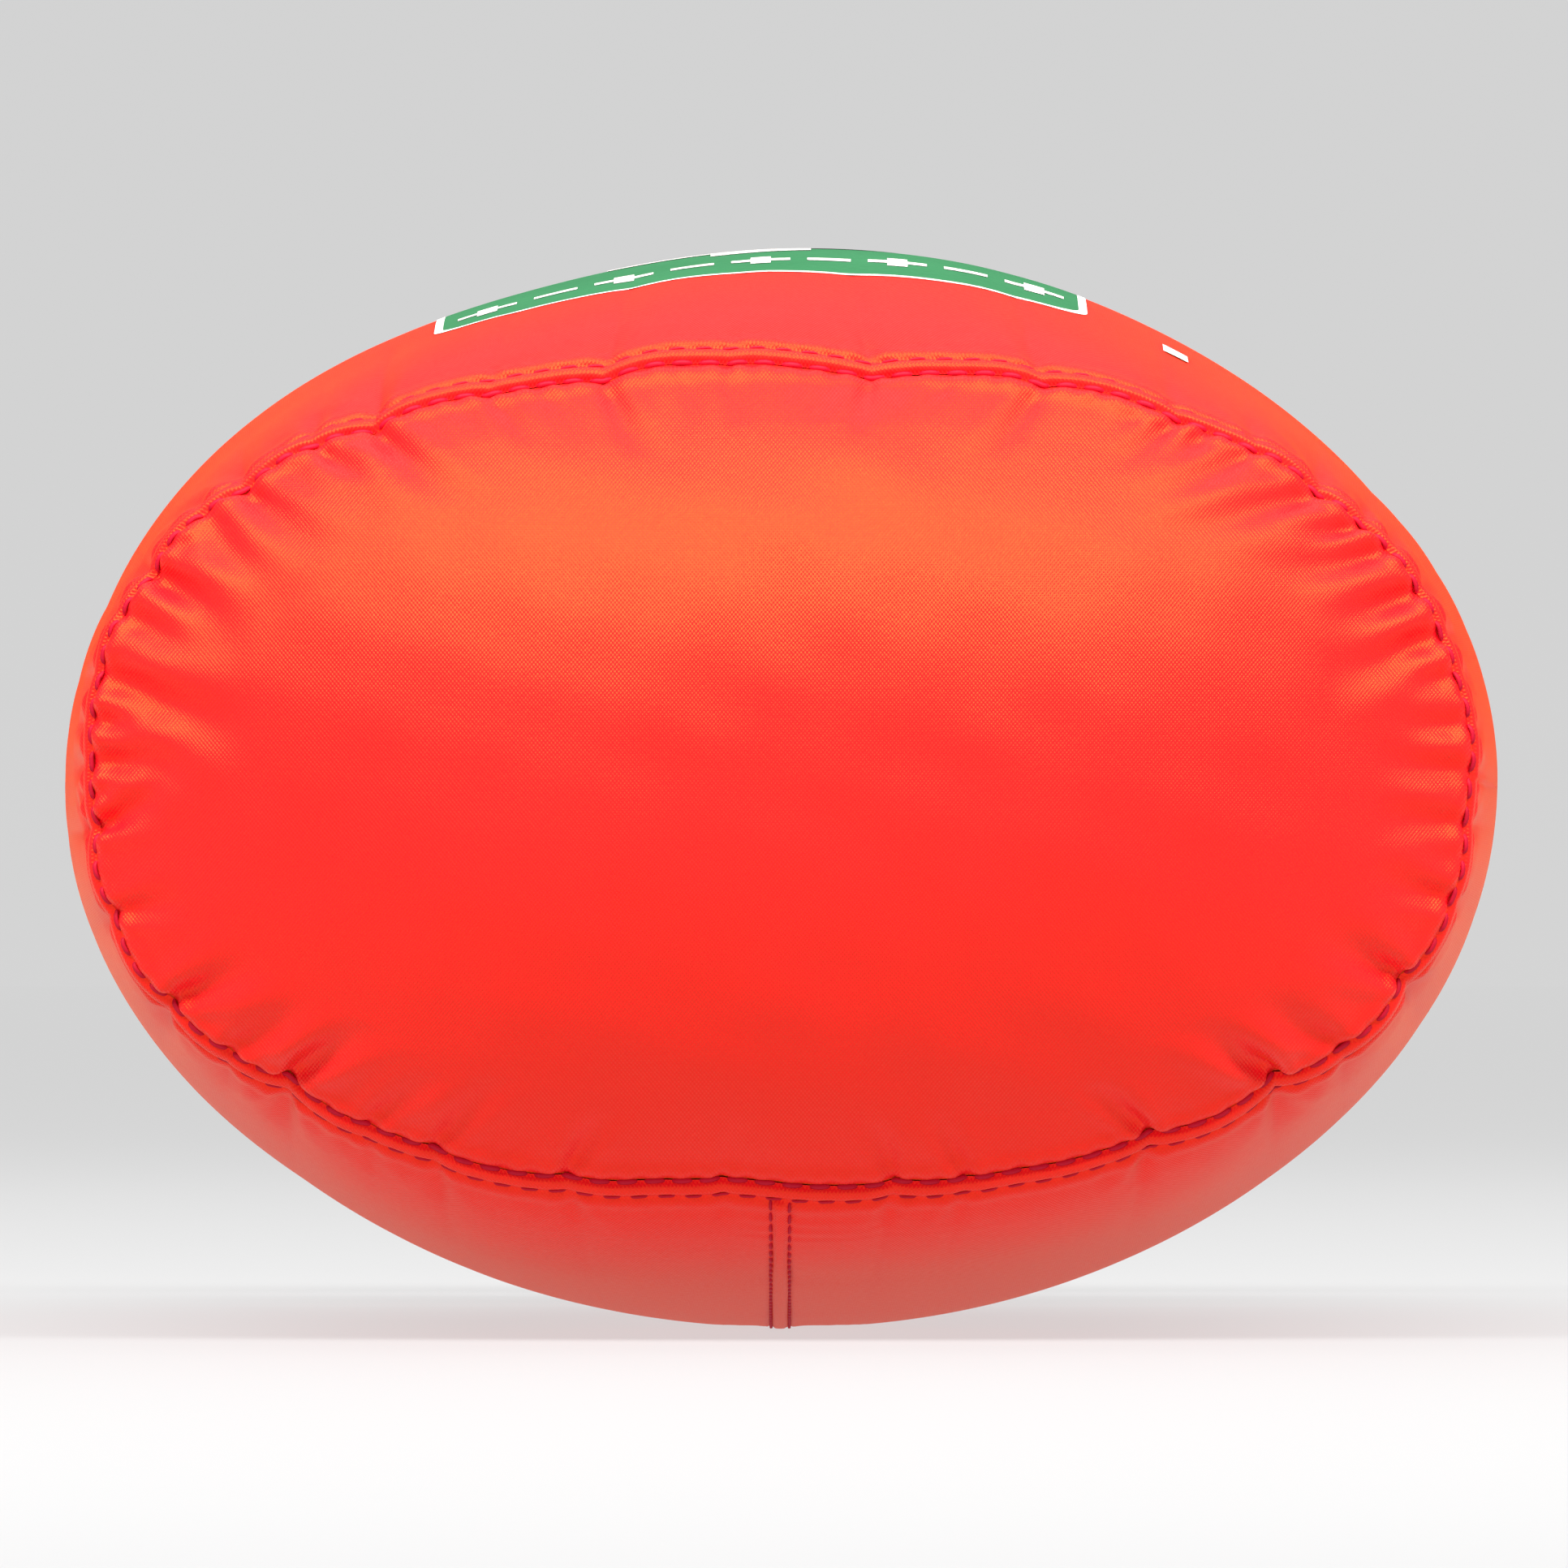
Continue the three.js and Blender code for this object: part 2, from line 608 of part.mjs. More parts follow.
// Rounded slab of the buckle's outer form, between two X stations.
function slab(fromX, toX) {
  const bevel = BUCKLE_BEVEL;
  const width = BUCKLE_WIDTH - 2 * bevel;
  const inner = roundedRectangle(toX - fromX - 2 * bevel, width, BUCKLE_CORNER);
  const geometry = new THREE.ExtrudeGeometry(inner, {
    depth: BUCKLE_THICKNESS - 2 * bevel,
    bevelSize: bevel,
    bevelThickness: bevel,
    bevelSegments: 1,
    curveSegments: 3,
  });
  geometry.translate((fromX + toX) / 2, 0, bevel - HALF_THICK);
  return solid(geometry.rotateX(Math.PI / 2));
}

// Cuts the webbing slot and thins the end so that only the bar is left there. `end` is the outer
// end of the buckle half and `inwards` is +1 or -1, towards its body.
function withBar(body, end, inwards) {
  const zHalf = HALF_WIDTH - RAIL;
  const xs = (a, b) => (a < b ? [a, b] : [b, a]);
  const [slotFrom, slotTo] = xs(end + inwards * BAR, end + inwards * (BAR + SLOT));
  const slot = block([slotFrom, -HALF_THICK - 1, -zHalf], [slotTo, HALF_THICK + 1, zHalf]);
  let cut = body.subtract(solid(slot));
  const [barFrom, barTo] = xs(end - inwards, end + inwards * (BAR + 0.01));
  for (const sign of [-1, 1]) {
    const [low, high] = xs(sign * (BAR_THICKNESS / 2), sign * (HALF_THICK + 1));
    cut = cut.subtract(solid(block([barFrom, low, -zHalf], [barTo, high, zHalf])));
  }
  return cut;
}

const headTip = FEMALE_MOUTH + GAP - PRONG_REACH;
const headCatch = headTip + PRONG_HEAD;

function femaleHalf() {
  let body = withBar(slab(FEMALE_END, FEMALE_MOUTH), FEMALE_END, 1);
  const socketEnd = FEMALE_MOUTH - SOCKET_DEPTH;
  const h = SOCKET_HEIGHT / 2;
  body = body.subtract(
    solid(block([socketEnd, -h, -SOCKET_HALF], [FEMALE_MOUTH + 1, h, SOCKET_HALF])),
  );
  const from = headTip - WINDOW_CLEARANCE;
  const to = headCatch + WINDOW_CLEARANCE;
  const windows = block([from, -h, -HALF_WIDTH - 1], [to, h, HALF_WIDTH + 1]);
  return geometryOf(body.subtract(solid(windows)));
}

const maleFace = FEMALE_MOUTH + GAP;
function maleHalf() {
  const body = withBar(slab(maleFace, MALE_END), MALE_END, -1);
  const tongue = block(
    [maleFace - TONGUE_LENGTH, -TONGUE_THICKNESS / 2, -TONGUE_WIDTH / 2],
    [maleFace + 1, TONGUE_THICKNESS / 2, TONGUE_WIDTH / 2],
  );
  return geometryOf(body.add(solid(tongue)));
}

// Sprung prong with its catch, drawn in X and Z for the +Z side.
const PRONG_ROOT_Z = SOCKET_HALF - PRONG_SIDE_GAP - PRONG_THICKNESS / 2;
function prong(side) {
  const rootX = maleFace - GAP;
  const inner = PRONG_ROOT_Z - PRONG_THICKNESS / 2;
  const outer = PRONG_ROOT_Z + PRONG_THICKNESS / 2;
  const crown = HALF_WIDTH - BUCKLE_BEVEL;
  const shape = new THREE.Shape();
  shape.moveTo(rootX, inner);
  shape.lineTo(rootX, outer);
  shape.lineTo(headCatch, outer);
  shape.lineTo(headCatch, crown);
  shape.quadraticCurveTo(headTip + 1.5, crown, headTip, outer);
  shape.quadraticCurveTo(headTip - 0.1, inner, headTip + 2.5, inner);
  const geometry = plate(shape, PRONG_HEIGHT, 4).translate(0, 0, -PRONG_HEIGHT / 2);
  geometry.rotateX(Math.PI / 2); // Y of the drawing becomes Z
  if (side < 0) geometry.scale(1, 1, -1);
  return closedCopy(geometry);
}

// D ring: a straight bar inside the webbing fold and a round bow behind it.
const RING_X = -(TAIL_X + Math.abs(FEMALE_END)) / 2;
function dRing() {
  const half = (RING_INNER_WIDTH + RING_WIRE) / 2;
  const corner = RING_CORNER;
  const foot = RING_FOOT_CORNER;
  const path = new THREE.CurvePath();
  const line = (a, b) => path.add(new THREE.LineCurve3(a, b));
  const bend = (a, b, c) => path.add(new THREE.QuadraticBezierCurve3(a, b, c));
  const reach = RING_REACH;
  line(vec(0, 0, -half + foot), vec(0, 0, half - foot));
  bend(vec(0, 0, half - foot), vec(0, 0, half), vec(0, foot, half));
  line(vec(0, foot, half), vec(0, reach - corner, half));
  bend(vec(0, reach - corner, half), vec(0, reach, half), vec(0, reach, half - corner));
  line(vec(0, reach, half - corner), vec(0, reach, -half + corner));
  bend(vec(0, reach, -half + corner), vec(0, reach, -half), vec(0, reach - corner, -half));
  line(vec(0, reach - corner, -half), vec(0, foot, -half));
  bend(vec(0, foot, -half), vec(0, 0, -half), vec(0, 0, -half + foot));
  const centre = path.curves.flatMap((curve) => {
    const steps = curve.isLineCurve3 ? 1 : 4;
    return [...Array(steps).keys()].map((i) => curve.getPoint(i / steps));
  });
  return wireLoop(centre, vec(1, 0, 0), RING_WIRE, 8);
}

add("buckle_socket", "plastic", femaleHalf(), buckle);
add("buckle_plug", "plastic", maleHalf(), buckle);
add("buckle_prong_upper", "plastic", prong(1), buckle);
add("buckle_prong_lower", "plastic", prong(-1), buckle);
add("webbing_socket_side", "webbing", webbingLoop(-1, FEMALE_END + BAR / 2), buckle);
add("webbing_plug_side", "webbing", webbingLoop(1, MALE_END - BAR / 2), buckle);
add("d_ring", "plastic", dRing(), buckle).position.set(RING_X, 0, 0);

// ---------------------------------------------------------------- contents
// Layers from the bag's back to its front, each resting on the one below.
const LAYER_1 = PACK_BOTTOM;
const LAYER_2 = LAYER_1 + BLANKET[2] + GAP;
const LAYER_3 = LAYER_2 + BANDAGE_DIAMETER + GAP;
const LAYER_4 = LAYER_3 + TRIANGULAR[2] + GAP;
const LAYER_5 = LAYER_4 + LEAFLET[2] + GAP;

const emergencyBlanket = add("emergency_blanket", "foil", packet(BLANKET, 4, 3));
emergencyBlanket.position.set(0, PACK_Y + 4, LAYER_1 + BLANKET[2] / 2);

// Rolled bandages side by side, each wound on an open core.
const BANDAGE_PITCH = BANDAGE_DIAMETER + SIDE_GAP;
const BANDAGE_EDGE = 1.2; // rounding of a bandage's rims
const bandageProfile = [
  [BANDAGE_CORE / 2, 0],
  [BANDAGE_DIAMETER / 2 - BANDAGE_EDGE, 0],
  [BANDAGE_DIAMETER / 2, BANDAGE_EDGE],
  [BANDAGE_DIAMETER / 2, BANDAGE_LENGTH - BANDAGE_EDGE],
  [BANDAGE_DIAMETER / 2 - BANDAGE_EDGE, BANDAGE_LENGTH],
  [BANDAGE_CORE / 2, BANDAGE_LENGTH],
  [BANDAGE_CORE / 2, 0],
];
["elastic_bandage_wide", "elastic_bandage_narrow", "gauze_bandage"].forEach((name, i) => {
  const slot = i < 2 ? "elastic" : "cotton";
  const roll = add(name, slot, closedCopy(turned(bandageProfile, 20)));
  roll.rotation.x = -Math.PI / 2;
  const x = (i - 1) * BANDAGE_PITCH - BANDAGE_PITCH / 2;
  roll.position.set(x, PACK_Y - BANDAGE_LENGTH / 2, LAYER_2 + BANDAGE_DIAMETER / 2);
});

// Adhesive tape: the spool's hub carries the winding, a flange closes one side.
const tapeRoll = new THREE.Group();
const tapeX = 1.5 * BANDAGE_PITCH + (TAPE_ROLL_DIAMETER - BANDAGE_DIAMETER) / 2 - 1;
tapeRoll.position.set(tapeX, PACK_Y - 20, LAYER_2 + BANDAGE_DIAMETER / 2);
tapeRoll.rotation.x = -Math.PI / 2;
bag.add(tapeRoll);
const hub = SPOOL_BORE / 2;
const spoolProfile = [
  [hub, 0],
  [TAPE_ROLL_DIAMETER / 2, 0],
  [TAPE_ROLL_DIAMETER / 2, SPOOL_FLANGE],
  [hub + SPOOL_WALL, SPOOL_FLANGE],
  [hub + SPOOL_WALL, SPOOL_FLANGE + TAPE_ROLL_WIDTH + 1],
  [hub, SPOOL_FLANGE + TAPE_ROLL_WIDTH + 1],
  [hub, 0],
];
const windingInner = hub + SPOOL_WALL + GAP;
const windingFrom = SPOOL_FLANGE + GAP;
const windingProfile = [
  [windingInner, windingFrom],
  [TAPE_ROLL_DIAMETER / 2 - 1, windingFrom],
  [TAPE_ROLL_DIAMETER / 2 - 1, windingFrom + TAPE_ROLL_WIDTH],
  [windingInner, windingFrom + TAPE_ROLL_WIDTH],
  [windingInner, windingFrom],
];
add("tape_spool", "spool", closedCopy(turned(spoolProfile)), tapeRoll);
add("tape_winding", "cotton", closedCopy(turned(windingProfile)), tapeRoll);

const triangularX = -28; // left of the middle, to leave room for the dressings
const triangularBandage = add("triangular_bandage", "cotton", packet(TRIANGULAR, 4, 3));
triangularBandage.position.set(triangularX, PACK_Y - 6, LAYER_3 + TRIANGULAR[2] / 2);

const dressingX = triangularX + TRIANGULAR[0] / 2 + 2 + DRESSING[0] / 2;
for (let i = 0; i < DRESSING_COUNT; i++) {
  const dressing = add(`wound_dressing_${i + 1}`, "wrapper", packet(DRESSING, 3, 1.5));
  const z = LAYER_3 + DRESSING[2] / 2 + i * (DRESSING[2] + GAP);
  dressing.position.set(dressingX, PACK_Y, z);
}

const triangularEnd = PACK_Y - 6 + TRIANGULAR[1] / 2;
const wipesX = -42.5; // left of the plaster wallet
const wipesY = triangularEnd + 2 + WIPES[0] / 2;
const wipes = add("antiseptic_wipes", "wrapper", packet(WIPES, 2, 1.5));
wipes.rotation.z = Math.PI / 2;
wipes.position.set(wipesX, wipesY, LAYER_3 + WIPES[2] / 2);

const gloves = add("nitrile_gloves", "nitrile", packet(GLOVES, 5, 4));
gloves.position.set(0, PACK_Y + BANDAGE_LENGTH / 2 + 3 + GLOVES[1] / 2, LAYER_2 + 14);

const leafletShape = roundedRectangle(LEAFLET[0], LEAFLET[1], 2);
const leaflet = add("first_aid_leaflet", "paper", plate(leafletShape, LEAFLET[2], 3));
leaflet.position.set(-4, PACK_Y - 2, LAYER_4);

// Plaster strips in a folded card wallet, open on three sides.
const wallet = new THREE.Group();
wallet.position.set(12, PACK_Y + TRIANGULAR[1] / 2 + 12, LAYER_3);
bag.add(wallet);
const walletShape = new THREE.Shape();
const walletHeight = PLASTERS[2] + 2 * GAP + 2 * WALLET_CARD;
const walletWidth = PLASTERS[1] + WALLET_CARD + 2 * GAP;
walletShape.moveTo(0, 0);
walletShape.lineTo(walletWidth, 0);
walletShape.lineTo(walletWidth, WALLET_CARD);
walletShape.lineTo(WALLET_CARD, WALLET_CARD);
walletShape.lineTo(WALLET_CARD, walletHeight - WALLET_CARD);
walletShape.lineTo(walletWidth, walletHeight - WALLET_CARD);
walletShape.lineTo(walletWidth, walletHeight);
walletShape.lineTo(0, walletHeight);
const walletGeometry = plate(walletShape, PLASTERS[0]);
walletGeometry.rotateX(Math.PI / 2).rotateZ(Math.PI / 2);
add("plaster_wallet", "paper", closedCopy(walletGeometry), wallet).position.set(-PLASTERS[0] / 2, 0, 0);
const strips = add("plaster_strips", "plaster", packet(PLASTERS, 1, 0.5), wallet);
strips.position.set(0, WALLET_CARD + GAP + PLASTERS[1] / 2, WALLET_CARD + GAP + PLASTERS[2] / 2);

// Scissors: two crossing halves on one rivet. Drawn with the pivot at the origin, tip at +Y.
const scissors = new THREE.Group();
scissors.position.set(2, PACK_Y, LAYER_5 + RIVET_HEAD + GAP + 0.1);
bag.add(scissors);
function scissorHalf(side) {
  const ringX = SCISSOR_RING[0] + SCISSOR_RING_WALL + 1.5;
  const hole = RIVET_DIAMETER / 2 + GAP;
  const arm = new THREE.Shape();
  arm.moveTo(-1.2, SCISSOR_BLADE);
  arm.quadraticCurveTo(4.5, SCISSOR_BLADE * 0.6, 4.6, 2);
  arm.quadraticCurveTo(4.8, -6, ringX - 1, -SCISSOR_HANDLE + SCISSOR_RING[1] + 1.5);
  arm.lineTo(ringX - 6, -SCISSOR_HANDLE + SCISSOR_RING[1] + 0.5);
  arm.quadraticCurveTo(-2.5, -10, -4.4, -2);
  arm.quadraticCurveTo(-4.4, 6, -1.2, 8);
  arm.holes.push(new THREE.Path().absarc(0, 0, hole, 0, 2 * Math.PI));
  const ring = new THREE.Shape();
  const [rx, ry] = SCISSOR_RING;
  const wall = SCISSOR_RING_WALL;
  ring.absellipse(ringX, -SCISSOR_HANDLE, rx + wall, ry + wall, 0, 2 * Math.PI);
  ring.holes.push(new THREE.Path().absellipse(ringX, -SCISSOR_HANDLE, rx, ry, 0, 2 * Math.PI));
  const joined = solid(plate(arm, SCISSOR_PLATE, 6)).add(solid(plate(ring, SCISSOR_PLATE, 10)));
  const geometry = geometryOf(joined);
  if (side < 0) geometry.scale(-1, 1, 1);
  return closedCopy(geometry);
}
add("scissors_fixed_blade", "steel", scissorHalf(1), scissors);
add("scissors_moving_blade", "steel", scissorHalf(-1), scissors).position.z = SCISSOR_PLATE + GAP;
const rivetTop = 2 * (SCISSOR_PLATE + GAP); // over both plates
const rivetProfile = [
  [0, -GAP - RIVET_HEAD],
  [RIVET_DIAMETER, -GAP - RIVET_HEAD],
  [RIVET_DIAMETER, -GAP],
  [RIVET_DIAMETER / 2, -GAP],
  [RIVET_DIAMETER / 2, rivetTop],
  [RIVET_DIAMETER, rivetTop],
  [RIVET_DIAMETER, rivetTop + RIVET_HEAD],
  [0, rivetTop + RIVET_HEAD],
];
add("scissors_rivet", "steel", closedCopy(turned(rivetProfile, 16)), scissors);

// Tweezers: two sprung arms that meet at the closed end.
const tweezers = new THREE.Group();
tweezers.position.set(-60, PACK_Y + TWEEZER_LENGTH / 2, LAYER_5);
bag.add(tweezers);
function tweezerArm(side) {
  const bow = TWEEZER_OPENING / 2;
  const s = TWEEZER_STEEL;
  const shape = new THREE.Shape();
  shape.moveTo(GAP / 2, 0);
  shape.lineTo(GAP / 2, -TWEEZER_JOIN);
  shape.quadraticCurveTo(bow - s, -TWEEZER_JOIN - 6, bow - s, -TWEEZER_LENGTH * 0.45);
  shape.lineTo(bow / 2 - s / 2, -TWEEZER_LENGTH);
  shape.lineTo(bow / 2 + s / 2, -TWEEZER_LENGTH);
  shape.lineTo(bow, -TWEEZER_LENGTH * 0.45);
  shape.quadraticCurveTo(bow, -TWEEZER_JOIN - 4, GAP / 2 + s, -TWEEZER_JOIN + 2);
  shape.lineTo(GAP / 2 + s, 0);
  const geometry = plate(shape, TWEEZER_WIDTH, 5);
  if (side < 0) geometry.scale(-1, 1, 1);
  return closedCopy(geometry);
}
add("tweezers_left_arm", "steel", tweezerArm(-1), tweezers);
add("tweezers_right_arm", "steel", tweezerArm(1), tweezers);

// Safety pins: one bent wire each, closed on itself.
function safetyPin() {
  const half = PIN_WIDTH / 2;
  const steps = 4; // facets in each rounded end
  const centre = [];
  for (const [y, from] of [
    [PIN_LENGTH / 2 - half, 0],
    [half - PIN_LENGTH / 2, Math.PI],
  ]) {
    for (let i = 0; i <= steps; i++) {
      const angle = from + (Math.PI * i) / steps;
      centre.push(vec(half * Math.cos(angle), y + half * Math.sin(angle), 0));
    }
  }
  return wireLoop(centre, vec(0, 0, 1), PIN_WIRE, 6);
}
for (let i = 0; i < PIN_COUNT; i++) {
  const pin = add(`safety_pin_${i + 1}`, "steel", safetyPin());
  const z = LAYER_3 + WIPES[2] + PIN_WIRE / 2 + GAP;
  pin.position.set(wipesX - 16 + i * PIN_PITCH, wipesY, z);
}

// ---------------------------------------------------------------- frame
const NEAR_END = -GAP - BASE_DOME;
const FAR_END = LOOP_Y + RING_REACH + RING_WIRE / 2;
bag.position.y = -(NEAR_END + FAR_END) / 2;

const firstAidKit = new THREE.Group();
firstAidKit.add(bag);

export default firstAidKit;
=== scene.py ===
"""Looks of the roll-top first aid bag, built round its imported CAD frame.

The bag lies on its back with its sewn oval base towards the camera. Lengths are in millimetres, in
the row frame, and become metres when a mesh is made. "Angle" runs round the bag from +X over the
front; "reach" is the distance from the base seam, measured over the cloth.
"""

import math

import bpy
import numpy as np
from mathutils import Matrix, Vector


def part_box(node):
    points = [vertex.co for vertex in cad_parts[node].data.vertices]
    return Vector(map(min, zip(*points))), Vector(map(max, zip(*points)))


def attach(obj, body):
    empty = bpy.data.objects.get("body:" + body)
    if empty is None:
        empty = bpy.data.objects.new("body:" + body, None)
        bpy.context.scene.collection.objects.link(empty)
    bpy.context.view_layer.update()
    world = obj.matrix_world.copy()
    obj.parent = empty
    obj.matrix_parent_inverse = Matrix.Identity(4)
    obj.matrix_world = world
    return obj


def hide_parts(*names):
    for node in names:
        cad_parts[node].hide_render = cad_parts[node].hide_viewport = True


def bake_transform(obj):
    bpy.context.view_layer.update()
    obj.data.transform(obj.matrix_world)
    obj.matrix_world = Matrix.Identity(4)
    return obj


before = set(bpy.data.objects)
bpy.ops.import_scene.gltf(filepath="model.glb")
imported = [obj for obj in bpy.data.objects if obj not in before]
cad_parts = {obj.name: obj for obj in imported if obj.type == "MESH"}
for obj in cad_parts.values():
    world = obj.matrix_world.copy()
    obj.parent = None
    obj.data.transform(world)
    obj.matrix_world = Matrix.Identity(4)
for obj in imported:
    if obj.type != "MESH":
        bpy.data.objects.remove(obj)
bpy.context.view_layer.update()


def corners(node):
    """Lowest and highest corner of a CAD node, in millimetres."""
    low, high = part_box(node)
    return np.array(low) * 1000, np.array(high) * 1000


# ------ driving dimensions
WALL_LOW, WALL_HIGH = corners("wall_panel")
BASE_LOW, BASE_HIGH = corners("base_panel")
ROLL_LOW, ROLL_HIGH = corners("roll_middle")
ARM_LOW, _ = corners("roll_right_arm")
SOCKET_LOW, SOCKET_HIGH = corners("buckle_socket")
_, PLUG_HIGH = corners("buckle_plug")
STRIP_LOW, STRIP_HIGH = corners("stiffener_strip")
TAPE_LOW, TAPE_HIGH = corners("webbing_plug_side")

CLOTH = 0.5  # thickness of the coated cloth
GIRTH_X = WALL_HIGH[0]  # half width at the fullest section
GIRTH_Z = WALL_HIGH[2] / 2
SEAM_Y = WALL_LOW[1]
GIRTH_Y = SEAM_Y + 80
SEAM_INSET = 2.3  # the visible stitch line lies inside the seam allowance
SEAM_X = BASE_HIGH[0] - SEAM_INSET
SEAM_Z = (BASE_HIGH[2] - BASE_LOW[2]) / 2 - SEAM_INSET
SEAM_CENTRE_Z = (BASE_HIGH[2] + BASE_LOW[2]) / 2
SEAM_SQUARENESS = 2.4
DOME = SEAM_Y - BASE_LOW[1] - 1
DOME_POWER = 2.3

FLARE_SHARE = 0.55  # the wall first turns outward from the seam, then back along the bag
FLARE_DEPTH = 5
BAND = 2.4  # felled band between the two stitch rows
BAND_RISE = 0.42
CREASE = 0.42  # depth of the groove under each stitch row
CREASE_WIDTH = 0.42
STITCH_PITCH = 3.5
BACK_SEAM_HALF = 1.15
BACK_SEAM_X = 0.2

ROLL_Y = (ROLL_LOW[1] + ROLL_HIGH[1]) / 2
ROLL_Z = (ROLL_LOW[2] + ROLL_HIGH[2]) / 2
ROLL_HALF = (ROLL_HIGH[1] - ROLL_LOW[1]) / 2
LOOP_Y = (SOCKET_LOW[1] + SOCKET_HIGH[1]) / 2
TURN_RADIUS = (LOOP_Y - ROLL_Y) / 2
TURN_X = ROLL_HIGH[0] + 0.3
TAIL_X = ARM_LOW[0]
STRIP_WIDTH = STRIP_HIGH[2] - STRIP_LOW[2]
STRIP_THICKNESS = 1.2
WEBBING_WIDTH = TAPE_HIGH[2] - TAPE_LOW[2]
WEBBING_THICKNESS = 1.4
NECK_DROP = 8
NECK_HALF_GAP = 2.4
NECK_WRAP = 1.15
NECK_RUN = 16

FLOOR_Z = WALL_LOW[2] - BAND_RISE - 0.1
CAMERA_DISTANCE = 3000  # from the fullest section
CAMERA_RIGHT = 0.7  # the camera's small offsets from the middle of the fullest section
CAMERA_UP = 0.4
VIEW_WIDTH = 204.8  # what the picture takes in at the fullest section


def metres(x, y, z):
    """Place in the scene of a point given in millimetres."""
    return (x / 1000, y / 1000, z / 1000)


# ------ mesh helpers
def make_object(name, points, faces, materials, cloth=None, face_slots=None):
    """Mesh object from points in millimetres. `cloth` holds flat coordinates for the weave."""
    mesh = bpy.data.meshes.new(name)
    mesh.from_pydata((np.asarray(points) / 1000).tolist(), [], faces)
    for material in materials:
        mesh.materials.append(material)
    if face_slots is not None:
        mesh.polygons.foreach_set("material_index", np.asarray(face_slots, dtype=np.int32))
    mesh.polygons.foreach_set("use_smooth", np.ones(len(faces), dtype=bool))
    if cloth is not None:
        attribute = mesh.attributes.new("cloth", "FLOAT_VECTOR", "POINT")
        attribute.data.foreach_set("vector", np.asarray(cloth, dtype=np.float32).ravel())
    mesh.validate()
    mesh.update()
    made = bpy.data.objects.new(name, mesh)
    bpy.context.scene.collection.objects.link(made)
    return made


def grid_faces(rows, columns, wrap_rows=False, wrap_columns=False):
    """Quads of a grid numbered row by row."""
    row = np.arange(rows if wrap_rows else rows - 1)
    column = np.arange(columns if wrap_columns else columns - 1)
    r, c = np.meshgrid(row, column, indexing="ij")
    r2 = (r + 1) % rows
    c2 = (c + 1) % columns
    quads = np.stack([r * columns + c, r * columns + c2, r2 * columns + c2, r2 * columns + c], -1)
    return quads.reshape(-1, 4).tolist()


def grid_object(name, grid, materials, wrap_rows=False, wrap_columns=False, cloth=None):
    rows, columns = grid.shape[:2]
    faces = grid_faces(rows, columns, wrap_rows, wrap_columns)
    flat_cloth = None if cloth is None else cloth.reshape(-1, 3)
    return make_object(name, grid.reshape(-1, 3), faces, materials, flat_cloth)


def unit(v):
    return v / np.maximum(np.linalg.norm(v, axis=-1, keepdims=True), 1e-9)


def grid_normals(grid, wrap_columns=True):
    """Outward normals of a grid whose columns run round and whose rows run along."""
    if wrap_columns:
        across = np.roll(grid, -1, axis=1) - np.roll(grid, 1, axis=1)
    else:
        across = np.gradient(grid, axis=1)
    along = np.gradient(grid, axis=0)
    return unit(np.cross(along, across))


def ripple(u, v, wavelength, seed, waves=7):
    """Smooth random field of about unit height over flat coordinates."""
    source = np.random.default_rng(seed)
    total = np.zeros(np.broadcast(u, v).shape)
    for _ in range(waves):
        direction = source.uniform(0, 2 * math.pi)
        k = 2 * math.pi / (wavelength * source.uniform(0.7, 1.5))
        phase = source.uniform(0, 2 * math.pi)
        total = total + np.cos(k * (u * math.cos(direction) + v * math.sin(direction)) + phase)
    return total / math.sqrt(waves / 2)


def bump_curve(x):
    return np.exp(-(x**2))


def step_down(x, softness):
    """Falls from 1 to 0 as x passes 0."""
    return 0.5 * (1 - np.tanh(x / softness / 2))


# ------ materials
def new_material(name, color, roughness, **inputs):
    material = bpy.data.materials.new(name)
    material.use_nodes = True
    shader = material.node_tree.nodes["Principled BSDF"]
    shader.inputs["Base Color"].default_value = (*color, 1)
    shader.inputs["Roughness"].default_value = roughness
    for key, value in inputs.items():
        shader.inputs[key.replace("_", " ")].default_value = value
    return material


